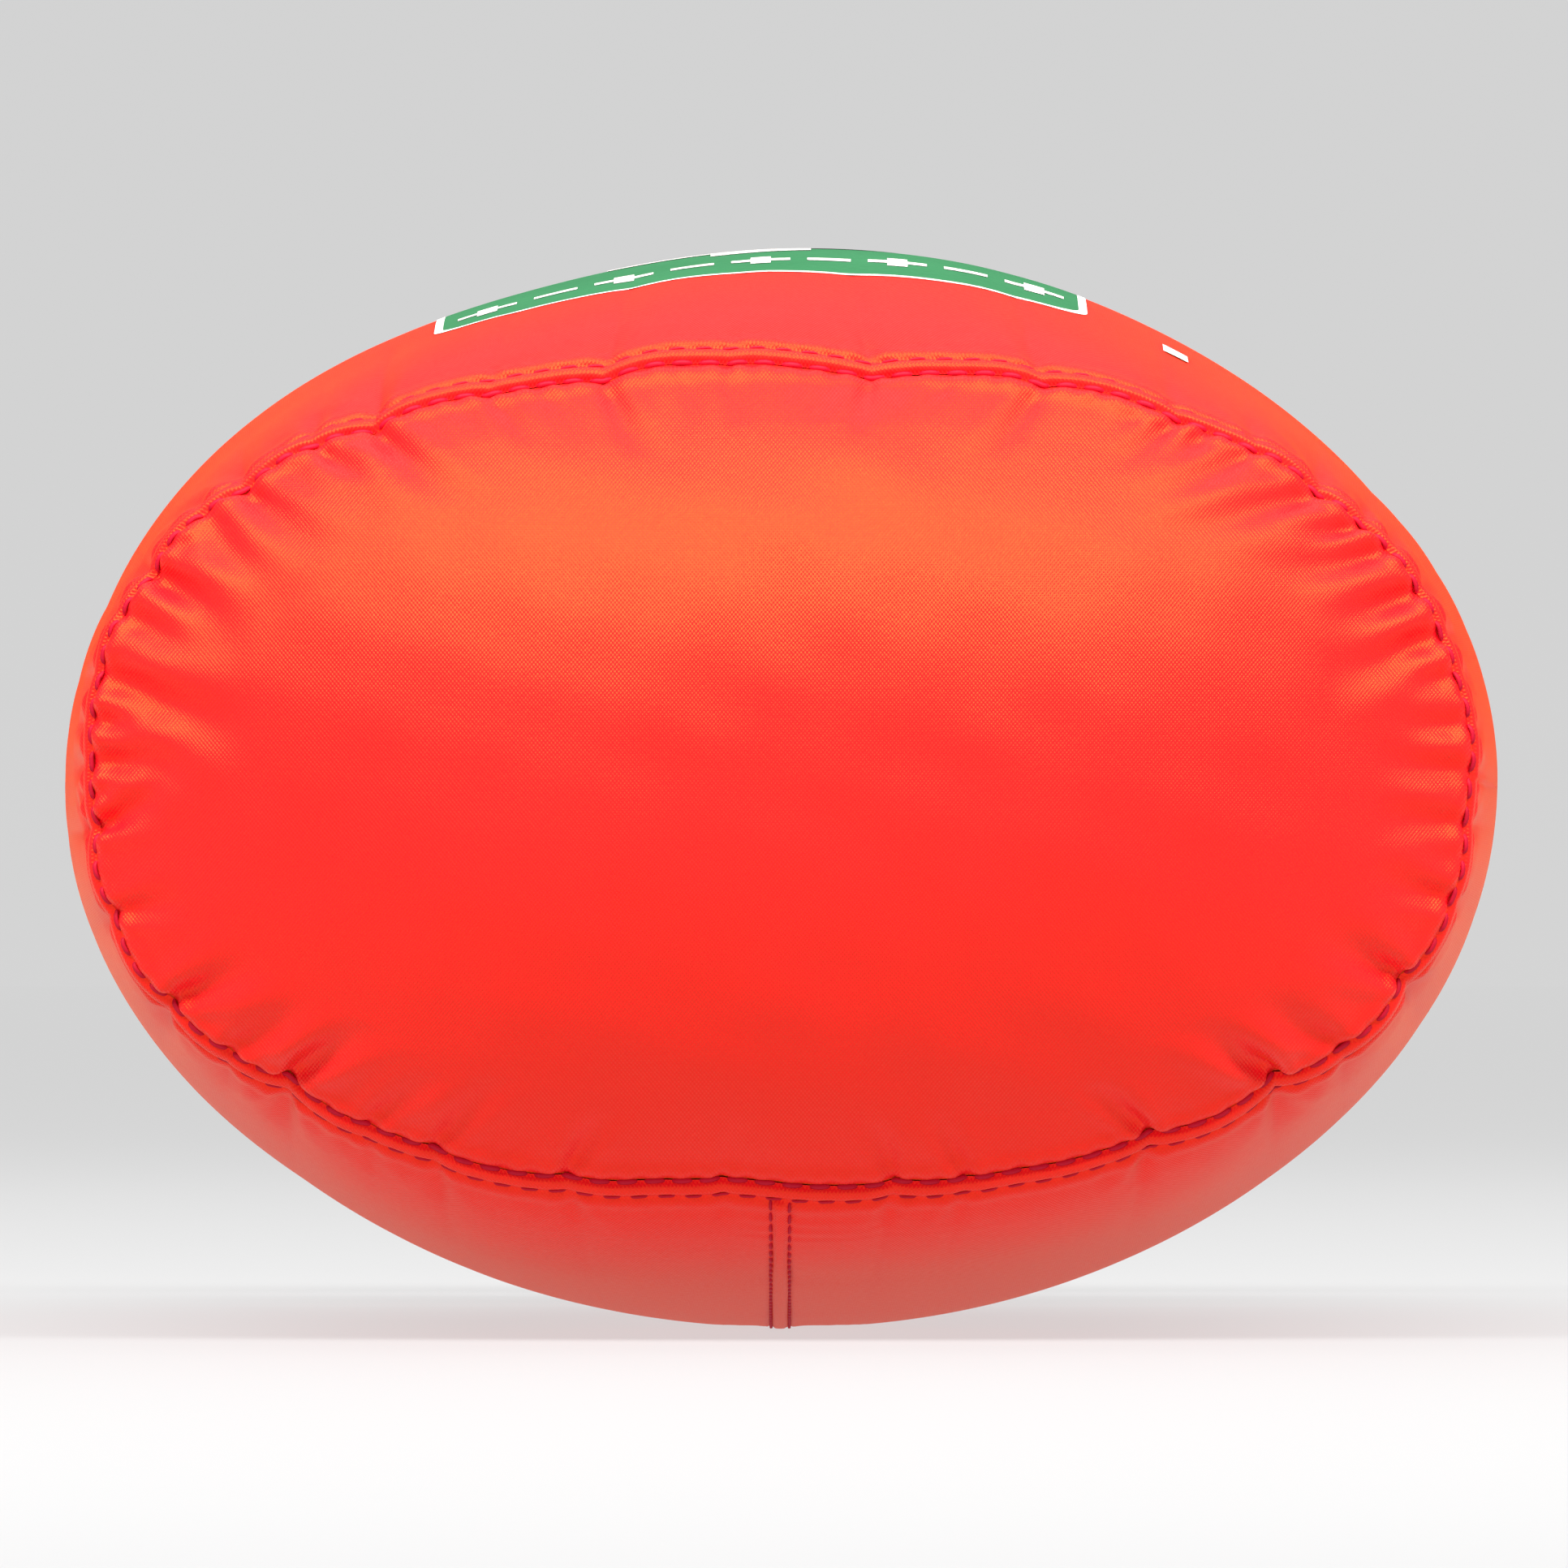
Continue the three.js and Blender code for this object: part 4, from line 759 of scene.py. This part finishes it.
def base_seam_stitches():
    count = int(SEAM_LENGTH / STITCH_PITCH)
    places = (np.arange(count) + 0.5) * SEAM_LENGTH / count
    inner = stitch_row(
        "stitches_base_inner", places, lambda s: wall_at(s, 0 * s + 0.05), *INNER_STITCH
    )
    outer = stitch_row(
        "stitches_base_outer", places + OUTER_SHIFT, lambda s: wall_at(s, 0 * s + BAND), *OUTER_STITCH
    )
    return [inner, outer]


def back_seam_line(x):
    """Finished wall under the bag at one X, as (distance, points, normals) from seam to neck."""
    window = (column_at(-90) + BACK_WINDOW) % COLUMNS
    grid = WALL_GRID[:, window]
    normals = WALL_NORMALS[:, window]
    rows = np.arange(len(grid))
    columns = np.array([np.interp(x, grid[r, :, 0], np.arange(len(window))) for r in rows])
    c0 = np.clip(np.floor(columns).astype(int), 0, len(window) - 2)
    f = (columns - c0)[:, None]
    line = grid[rows, c0] * (1 - f) + grid[rows, c0 + 1] * f
    normal = unit(normals[rows, c0] * (1 - f) + normals[rows, c0 + 1] * f)
    travelled = np.concatenate([[0], np.cumsum(np.linalg.norm(np.diff(line, axis=0), axis=-1))])
    return travelled, line, normal


def back_seam_stitches(name, side):
    travelled, line, normal = back_seam_line(BACK_SEAM_X + side * BACK_SEAM_HALF)

    def locate(distance):
        point = np.stack([np.interp(distance, travelled, line[:, i]) for i in range(3)], -1)
        facing = np.stack([np.interp(distance, travelled, normal[:, i]) for i in range(3)], -1)
        return point, unit(facing)

    places = np.arange(BAND + 1.8, travelled[-1] * 0.9, BACK_STITCH_PITCH)
    return stitch_row(name, places, locate, *BACK_STITCH)


# ------ print on the front
PRINT_WIDTH = 84
PRINT_LENGTH = 78
PRINT_MIDDLE = -2.3  # middle of the field, across the front
PRINT_START = 33  # from the base seam, over the cloth
PRINT_CORNER = 5
PRINT_LINE = 1.1
EMBLEM_PLACE = 47  # from the start of the field
EMBLEM_SIZE = 40
EMBLEM_STROKE = 13
MARKS_PLACE = 12  # from the start of the field
MARKS_PITCH = 8.8
MARKS_STROKE = 2.6
PLUS_SIZE = 7.6
DASH_WIDTH = 5.6
SIDE_MARK = (51, 39, 3.2, 7)  # across the front, from the base seam, width, length


def front_map(u, v, lift):
    """Point of the wall at u across the front and v from the base seam, raised by lift."""
    window = (column_at(90) + FRONT_WINDOW) % COLUMNS
    grid = WALL_GRID[:, window]
    normals = WALL_NORMALS[:, window]
    reach = WALL_REACH[:, window]
    middle_reach = reach[:, len(window) // 2]
    u, v = np.broadcast_arrays(u, v)
    rows = np.interp(v, middle_reach, np.arange(len(grid)))
    r0 = np.clip(np.floor(rows).astype(int), 0, len(grid) - 2)
    fr = rows - r0
    order = np.arange(len(window))
    out = np.zeros((*u.shape, 3))
    for index in np.ndindex(u.shape):
        r, f = r0[index], fr[index]
        line = grid[r] * (1 - f) + grid[r + 1] * f
        facing = normals[r] * (1 - f) + normals[r + 1] * f
        column = np.interp(-u[index], -line[:, 0], order)
        c0 = min(int(column), len(window) - 2)
        g = column - c0
        normal = unit(facing[c0] * (1 - g) + facing[c0 + 1] * g)
        out[index] = line[c0] * (1 - g) + line[c0 + 1] * g + normal * lift
    return out


def rounded_outline(width, length, radius, steps=7):
    """Rounded rectangle round the origin, counter-clockwise."""
    points = []
    for quarter in range(4):
        cx = (width / 2 - radius) * (1 if quarter in (0, 3) else -1)
        cy = (length / 2 - radius) * (1 if quarter in (0, 1) else -1)
        for i in range(steps + 1):
            angle = (quarter + i / steps) * math.pi / 2
            points.append((cx + radius * math.cos(angle), cy + radius * math.sin(angle)))
    dense = []
    for (x0, y0), (x1, y1) in zip(points, points[1:] + points[:1]):
        count = max(1, int(math.hypot(x1 - x0, y1 - y0) / 2))
        for i in range(count):
            dense.append((x0 + (x1 - x0) * i / count, y0 + (y1 - y0) * i / count))
    return np.array(dense)


def print_field():
    """Green field inside a white line, with rounded corners."""
    outline = rounded_outline(PRINT_WIDTH, PRINT_LENGTH, PRINT_CORNER)
    shares = np.concatenate([[1], np.linspace(1, 0.02, 24)[1:]])
    half = np.array([PRINT_WIDTH / 2, PRINT_LENGTH / 2])
    inner = outline * (half - PRINT_LINE) / half
    rings = [outline, *[inner * share for share in shares]]
    grid = np.array(rings)
    v = PRINT_START + PRINT_LENGTH / 2 + grid[..., 1]
    points = front_map(PRINT_MIDDLE + grid[..., 0], v, 0.1)
    rows, columns = grid.shape[:2]
    faces = grid_faces(rows, columns, wrap_columns=True)
    centre = len(points.reshape(-1, 3))
    last = (rows - 1) * columns
    faces += [[last + c, last + (c + 1) % columns, centre] for c in range(columns)]
    slots = [1 if i < columns else 0 for i in range(len(faces))]
    middle = front_map(np.array([PRINT_MIDDLE]), np.array([PRINT_START + PRINT_LENGTH / 2]), 0.1)
    flat = np.concatenate([points.reshape(-1, 3), middle])
    return make_object("print_field", flat, faces, [PRINT_GREEN, PRINT_WHITE], face_slots=slots)


def print_bar(name, u, v, width, length):
    """White printed rectangle centred at u across the front and v from the base seam."""
    us = np.linspace(u - width / 2, u + width / 2, max(2, int(width / 1.5) + 2))
    vs = np.linspace(v - length / 2, v + length / 2, max(2, int(length / 1.5) + 2))
    grid = front_map(us[None, :], vs[:, None], 0.18)
    return grid_object(name, grid, [PRINT_WHITE])


def print_cross(name, u, v, size, arm):
    """White cross of three bars that meet edge to edge."""
    side = (size - arm) / 2
    shift = (arm + side) / 2
    return [
        print_bar(f"{name}_upright", u, v, arm, size),
        print_bar(f"{name}_left", u - shift, v, side, arm),
        print_bar(f"{name}_right", u + shift, v, side, arm),
    ]


def front_print():
    """The field, a large cross and a row of small crosses and bars in place of lettering."""
    pieces = [print_field()]
    emblem_v = PRINT_START + EMBLEM_PLACE
    pieces += print_cross("print_emblem", PRINT_MIDDLE, emblem_v, EMBLEM_SIZE, EMBLEM_STROKE)
    marks_v = PRINT_START + MARKS_PLACE
    for i in range(-4, 5):
        u = PRINT_MIDDLE + i * MARKS_PITCH
        if i % 2 == 0:
            pieces += print_cross(f"print_plus_{i + 5}", u, marks_v, PLUS_SIZE, MARKS_STROKE)
        else:
            pieces.append(print_bar(f"print_dash_{i + 5}", u, marks_v, DASH_WIDTH, MARKS_STROKE))
    pieces.append(print_bar("print_side_mark", *SIDE_MARK))
    return pieces


# ------ roll and strip
ROLL_TURNS = 2
ROLL_PITCH = 1.5
ROLL_SHEET = 1.1
CORE_HALF = ROLL_HALF - ROLL_SHEET - ROLL_TURNS * ROLL_PITCH
CORE_SPAN = (ROLL_HIGH[2] - ROLL_LOW[2]) / 2 - ROLL_HALF + ROLL_PITCH / 4
LOOP_END = TURN_X + math.pi * TURN_RADIUS + (TURN_X - TAIL_X)


def spiral_section():
    """Flattened spiral of one sheet: closed outline as [towards the loop's middle, Z]."""
    steps = 12
    faces = []
    for offset in (ROLL_SHEET / 2 - 0.05, -ROLL_SHEET / 2 + 0.05):
        line = []
        for half in range(2 * ROLL_TURNS):
            side = 1 if half % 2 == 0 else -1
            for k in range(steps + 1):
                turns = (half + k / steps) / 2
                radius = CORE_HALF + ROLL_SHEET / 2 + ROLL_PITCH * turns + offset
                angle = turns * 2 * math.pi
                line.append((-math.cos(angle) * radius, side * CORE_SPAN + math.sin(angle) * radius))
            end = line[-1]
            if half < 2 * ROLL_TURNS - 1:
                run = np.linspace(end[1], -side * CORE_SPAN, 7)[1:-1]
                line.extend([(end[0], z) for z in run])
        faces.append(line)
    return np.array(faces[0] + faces[1][::-1])


def sweep(name, section, distances, material, wrinkle=0.0, seed=1):
    """Sweeps a closed two-sided section along the carrying loop and closes its ends."""
    x, y, inward = loop_at(distances)
    n, z = section[:, 0], section[:, 1]
    around_length = np.concatenate([[0], np.cumsum(np.hypot(*np.diff(section, axis=0).T))])
    u = np.repeat(np.asarray(distances)[:, None], len(section), 1)
    v = np.repeat(around_length[None, :], len(distances), 0)
    swell = 1 + wrinkle * (ripple(u, v * 0.15, 17, seed) + 0.5 * ripple(u, v * 0.1, 6, seed + 1))
    out = n[None, :] * swell
    grid = np.stack(
        [
            x[:, None] + inward[:, 0:1] * out,
            y[:, None] + inward[:, 1:2] * out,
            ROLL_Z + np.repeat(z[None, :], len(distances), 0),
        ],
        -1,
    )
    cloth = np.stack([u, v, 0 * u], -1)
    rows, columns = grid.shape[:2]
    faces = grid_faces(rows, columns, wrap_columns=True)
    half = columns // 2
    last = (rows - 1) * columns
    for i in range(half - 1):
        strip = [i, i + 1, columns - 2 - i, columns - 1 - i]
        faces.append([last + k for k in strip])
        faces.append(strip[::-1])
    return make_object(name, grid.reshape(-1, 3), faces, [material], cloth.reshape(-1, 3))


def loop_distances(side, end, count=110):
    return side * np.linspace(0, end, count)


def roll_half(name, side):
    distances = loop_distances(side, LOOP_END)
    return sweep(name, spiral_section(), distances, RED_CLOTH, wrinkle=0.012, seed=61 + side)


def strip_half(name, side):
    half_t, half_w = STRIP_THICKNESS / 2, STRIP_WIDTH / 2
    rise = np.linspace(-half_w, half_w, 5)
    section = [(-half_t, z) for z in rise] + [(half_t, z) for z in rise[::-1]]
    return sweep(name, np.array(section), loop_distances(side, LOOP_END - 1, 60), STRIP)


# ------ webbing
BAR_HALF = 1.5  # half thickness of a buckle half's bar
WEBBING_GAP = 0.35
WEBBING_OPEN = 1.9  # half the opening where the webbing goes round the bar
WEBBING_HELD = 9  # length held in the core of the roll


def webbing_loop(name, side, bar_x):
    """Folded webbing from the core of the roll to the bar of a buckle half."""
    tight = STRIP_THICKNESS / 2 + WEBBING_GAP
    wide = WEBBING_OPEN
    deep = TAIL_X + WEBBING_HELD
    fold = abs(bar_x) - BAR_HALF - WEBBING_GAP
    middle = (tight + wide) / 2
    upper = [(deep, tight), (TAIL_X + 1, tight), (TAIL_X - 2, middle), (TAIL_X - 4, wide)]
    upper += [(x, wide) for x in np.linspace(TAIL_X - 5, fold + wide, 6)]
    bend = [
        (fold + wide - wide * math.cos(a), wide * math.sin(a))
        for a in np.linspace(math.pi / 2, -math.pi / 2, 9)[1:-1]
    ]
    path = np.array(upper + bend + [(x, -y) for x, y in reversed(upper)])
    tangent = unit(np.gradient(path, axis=0))
    normal = np.stack([tangent[:, 1], -tangent[:, 0]], -1)
    outer = path + normal * (WEBBING_THICKNESS - 0.1)
    travelled = np.concatenate([[0], np.cumsum(np.hypot(*np.diff(path, axis=0).T))])
    half = WEBBING_WIDTH / 2
    spread = np.concatenate([np.linspace(-half, half, 9), np.linspace(half, -half, 9)])
    rows = []
    cloth = []
    for i in range(len(path)):
        row = []
        for k, z in enumerate(spread):
            source = outer if k < 9 else path
            edge = 0.25 if abs(abs(z) - half) < 1e-6 else 0
            mixed = source[i] * (1 - edge) + (path[i] if k < 9 else outer[i]) * edge
            row.append((side * mixed[0], LOOP_Y + mixed[1], ROLL_Z + z))
            cloth.append((travelled[i], z, 0))
        rows.append(row)
    grid = np.array(rows)
    faces = grid_faces(len(path), len(spread), wrap_columns=True)
    last = (len(path) - 1) * len(spread)
    faces.append(list(range(len(spread))))
    faces.append([last + k for k in reversed(range(len(spread)))])
    return make_object(name, grid.reshape(-1, 3), faces, [WEBBING], cloth)


# ------ contents
def pillow(name, node, material, edge=0.35, dents=0.25, crimp=0.0):
    """Soft packet that fills a CAD node's box: a superellipsoid with dents and, where `crimp` is
    given, a flat sealed edge at its two ends."""
    low, high = corners(node)
    centre, half = (low + high) / 2, (high - low) / 2
    rows, columns = 41, 72
    rise = np.linspace(-math.pi / 2, math.pi / 2, rows)[:, None]
    turn = np.linspace(0, 2 * math.pi, columns, endpoint=False)[None, :]

    def power(value):
        return np.sign(value) * np.abs(value) ** edge

    x = power(np.cos(rise)) * power(np.cos(turn))
    y = power(np.cos(rise)) * power(np.sin(turn))
    z = power(np.sin(rise)) * np.ones_like(turn)
    if crimp:
        flat = np.clip((np.abs(y) - 1 + crimp) / crimp, 0, 1)
        z = z * (1 - 0.85 * flat)
    grid = np.stack([x, y, z], -1) * (half - dents)
    field = ripple(grid[..., 0], grid[..., 1], 26, 80)
    field = field + 0.5 * ripple(grid[..., 0], grid[..., 1], 9, 81)
    grid[..., 2] += dents * np.clip(field, -1, 1) * np.sign(z) * 0.5
    points = grid + centre
    return grid_object(name, points, [material], wrap_columns=True, cloth=grid)


def wound_roll(name, node, material, layers=9):
    """Bandage wound into a roll: its sides show the winding and its end stands a little open."""
    low, high = corners(node)
    centre = (low + high) / 2
    radius = (high[0] - low[0]) / 2 - 0.1
    half = (high[1] - low[1]) / 2 - 0.1
    turns = np.linspace(0, 2 * math.pi, 96, endpoint=False)
    profile = []
    pitch = (radius - 1.5) / layers
    for i in range(layers):
        for share, depth in ((0.0, 0.8), (0.25, 0.1), (0.75, 0.1)):
            profile.append((1.5 + (i + share) * pitch, half - depth))
    profile.append((radius, half - 0.8))
    profile += [(radius, y) for y in np.linspace(half - 2, -half + 2, 12)]
    mirrored = [(r, -y) for r, y in profile[: 3 * layers + 1]]
    profile += mirrored[::-1]
    profile = np.array(profile)
    r = profile[:, 0][:, None] * np.ones_like(turns)[None, :]
    y = profile[:, 1][:, None] * np.ones_like(turns)[None, :]
    r = r + 0.12 * ripple(r * np.cos(turns), y + r * np.sin(turns), 15, 90) - 0.15
    grid = np.stack([r * np.cos(turns), y, r * np.sin(turns)], -1) + centre
    cloth = np.stack([turns[None, :] * radius + 0 * r, y, 0 * r], -1)
    return grid_object(name, grid, [material], wrap_rows=True, wrap_columns=True, cloth=cloth)


def soft_contents():
    """(piece, CAD node it stands for, record slot)"""
    packets = [
        ("blanket", "emergency_blanket", FOIL, "foil", dict(edge=0.3, dents=0.9)),
        ("triangular", "triangular_bandage", COTTON, "cotton", dict(edge=0.3, dents=0.6)),
        ("wipes", "antiseptic_wipes", WRAPPER, "wrapper", dict(dents=0.3, crimp=0.16)),
        ("gloves", "nitrile_gloves", NITRILE, "nitrile", dict(edge=0.45, dents=0.8)),
        ("strips", "plaster_strips", PLASTER, "plaster", dict(edge=0.2, dents=0.1)),
    ]
    for i in (1, 2, 3):
        shape = dict(dents=0.35, crimp=0.14)
        packets.append((f"dressing_{i}", f"wound_dressing_{i}", WRAPPER, "wrapper", shape))
    bandages = [
        ("elastic_bandage_wide", ELASTIC, "elastic"),
        ("elastic_bandage_narrow", ELASTIC, "elastic"),
        ("gauze_bandage", COTTON, "cotton"),
    ]
    made = []
    for name, node, material, slot, shape in packets:
        made.append((pillow(name, node, material, **shape), node, slot))
    for node, material, slot in bandages:
        made.append((wound_roll(f"wound_{node}", node, material), node, slot))
    return made


base = base_panel()
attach(base, "bag")
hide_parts("base_panel")


def bend_with(piece):
    """Bakes a piece's placement into its mesh."""
    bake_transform(piece)


for side, arm, node in ((-1, "left_arm", "roll_left_arm"), (1, "right_arm", "roll_right_arm")):
    label = "left" if side < 0 else "right"
    wall = wall_half(f"wall_cloth_{label}", side)
    bend_with(wall)
    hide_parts("wall_panel")
    roll = roll_half(f"roll_cloth_{label}", side)
    bend_with(roll)
    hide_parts(node, "roll_middle")
    strip = strip_half(f"strip_{label}", side)
    bend_with(strip)
    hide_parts("stiffener_strip")

for stitches in base_seam_stitches():
    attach(stitches, "bag")
for label, side in (("left", -1), ("right", 1)):
    stitches = back_seam_stitches(f"stitches_back_{label}", side)
    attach(stitches, "bag")

for tape, node in ((base_tape(), "base_seam_tape"), (back_tape(), "back_seam_tape")):
    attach(tape, "bag")
    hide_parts(node)

for piece in front_print():
    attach(piece, "bag")
    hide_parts("front_print")

for side, arm, half, node, bar_x in (
    (-1, "left_arm", "socket_half", "webbing_socket_side", SOCKET_LOW[0] + BAR_HALF),
    (1, "right_arm", "plug_half", "webbing_plug_side", PLUG_HIGH[0] - BAR_HALF),
):
    webbing = webbing_loop(f"{node}_cloth", side, bar_x)
    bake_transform(webbing)
    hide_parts(node)

for piece, node, slot_name in soft_contents():
    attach(piece, "bag")
    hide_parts(node)


# ------ hard pieces keep their CAD form
def finish_node(node, material, bevel):
    """Gives a CAD node its material and, where a bevel is given, softens its edges."""
    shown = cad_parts[node]
    shown.data.materials.clear()
    shown.data.materials.append(material)
    if bevel:
        modifier = shown.modifiers.new("soft edges", "BEVEL")
        modifier.width = bevel / 1000
        modifier.segments = 2
        modifier.limit_method = "ANGLE"
        modifier.angle_limit = math.radians(40)
        modifier.harden_normals = True


for material, bevel, nodes in (
    (PLASTIC, 0.25, ("buckle_socket", "buckle_plug", "buckle_prong_upper", "buckle_prong_lower")),
    (PLASTIC, 0, ("d_ring",)),
    (STEEL, 0.3, ("scissors_fixed_blade", "scissors_moving_blade")),
    (STEEL, 0.15, ("tweezers_left_arm", "tweezers_right_arm")),
    (STEEL, 0, ("scissors_rivet", "safety_pin_1", "safety_pin_2", "safety_pin_3")),
    (SPOOL, 0.2, ("tape_spool",)),
    (COTTON, 0.2, ("tape_winding",)),
    (PAPER, 0, ("first_aid_leaflet", "plaster_wallet")),
):
    for node in nodes:
        finish_node(node, material, bevel)


# ------ studio
def studio():
    """Pale floor, and far behind the bag a backdrop that curves up from it."""
    reach, curve, height = 5.0, 1.5, 6.0
    turn = [i / 12 * math.pi / 2 for i in range(13)]
    backdrop = [(reach + curve * math.sin(a), curve * (1 - math.cos(a))) for a in turn]
    backdrop.append((reach + curve, height))
    for name, profile, material in (
        ("studio_floor", [(-reach, 0.0), (reach, 0.0)], FLOOR),
        ("studio_backdrop", backdrop, BACKDROP),
    ):
        rows = [[(x, y * 1000, z * 1000 + FLOOR_Z) for x in (-6000, 6000)] for y, z in profile]
        made = grid_object(name, np.array(rows), [material])
        made.visible_glossy = material is FLOOR  # the backdrop leaves no shine on the cloth


def soft_light(name, place, size, power, gloss=True):
    """Rectangular softbox, in metres, aimed at the bag. Without gloss it only fills shadows."""
    data = bpy.data.lights.new(name, "AREA")
    data.shape = "RECTANGLE"
    data.size, data.size_y = size
    data.energy = power
    lamp = bpy.data.objects.new(name, data)
    lamp.location = place
    direction = Vector((0, -0.1, 0.07)) - Vector(place)
    lamp.rotation_euler = direction.to_track_quat("-Z", "Y").to_euler()
    lamp.visible_glossy = gloss
    bpy.context.scene.collection.objects.link(lamp)


FLOOR = new_material(
    "floor", (0.11, 0.11, 0.11), 0.85, Emission_Color=(1, 1, 1, 1), Emission_Strength=0.6
)
BACKDROP = new_material(
    "backdrop", (0.11, 0.11, 0.11), 0.85, Emission_Color=(1, 1, 1, 1), Emission_Strength=0.61
)
studio()
soft_light("key", (0, -0.75, 1.05), (2.6, 0.45), 53)
soft_light("top", (0, 0.35, 1.2), (1.8, 0.5), 5)
soft_light("back", (0, 0.9, 0.9), (1.6, 0.6), 6, gloss=False)
soft_light("front", (0, -1.7, 0.15), (1.8, 0.8), 10, gloss=False)
soft_light("left", (-1.0, -0.2, 0.4), (0.5, 0.8), 0.8)
soft_light("right", (1.0, -0.2, 0.4), (0.5, 0.8), 0.8)

world = bpy.data.worlds.new("studio")
world.use_nodes = True
world.node_tree.nodes["Background"].inputs["Color"].default_value = (1, 1, 1, 1)
world.node_tree.nodes["Background"].inputs["Strength"].default_value = 0.13
scene = bpy.context.scene
scene.world = world
scene.view_settings.view_transform = "Standard"

camera_data = bpy.data.cameras.new("camera")
camera_data.sensor_width = 36
camera_data.lens = 36 * CAMERA_DISTANCE / VIEW_WIDTH
camera_data.clip_end = 50
camera = bpy.data.objects.new("camera", camera_data)
camera.location = metres(CAMERA_RIGHT, GIRTH_Y - CAMERA_DISTANCE, GIRTH_Z + CAMERA_UP)
camera.rotation_euler = (math.pi / 2, 0, 0)
scene.collection.objects.link(camera)
scene.camera = camera
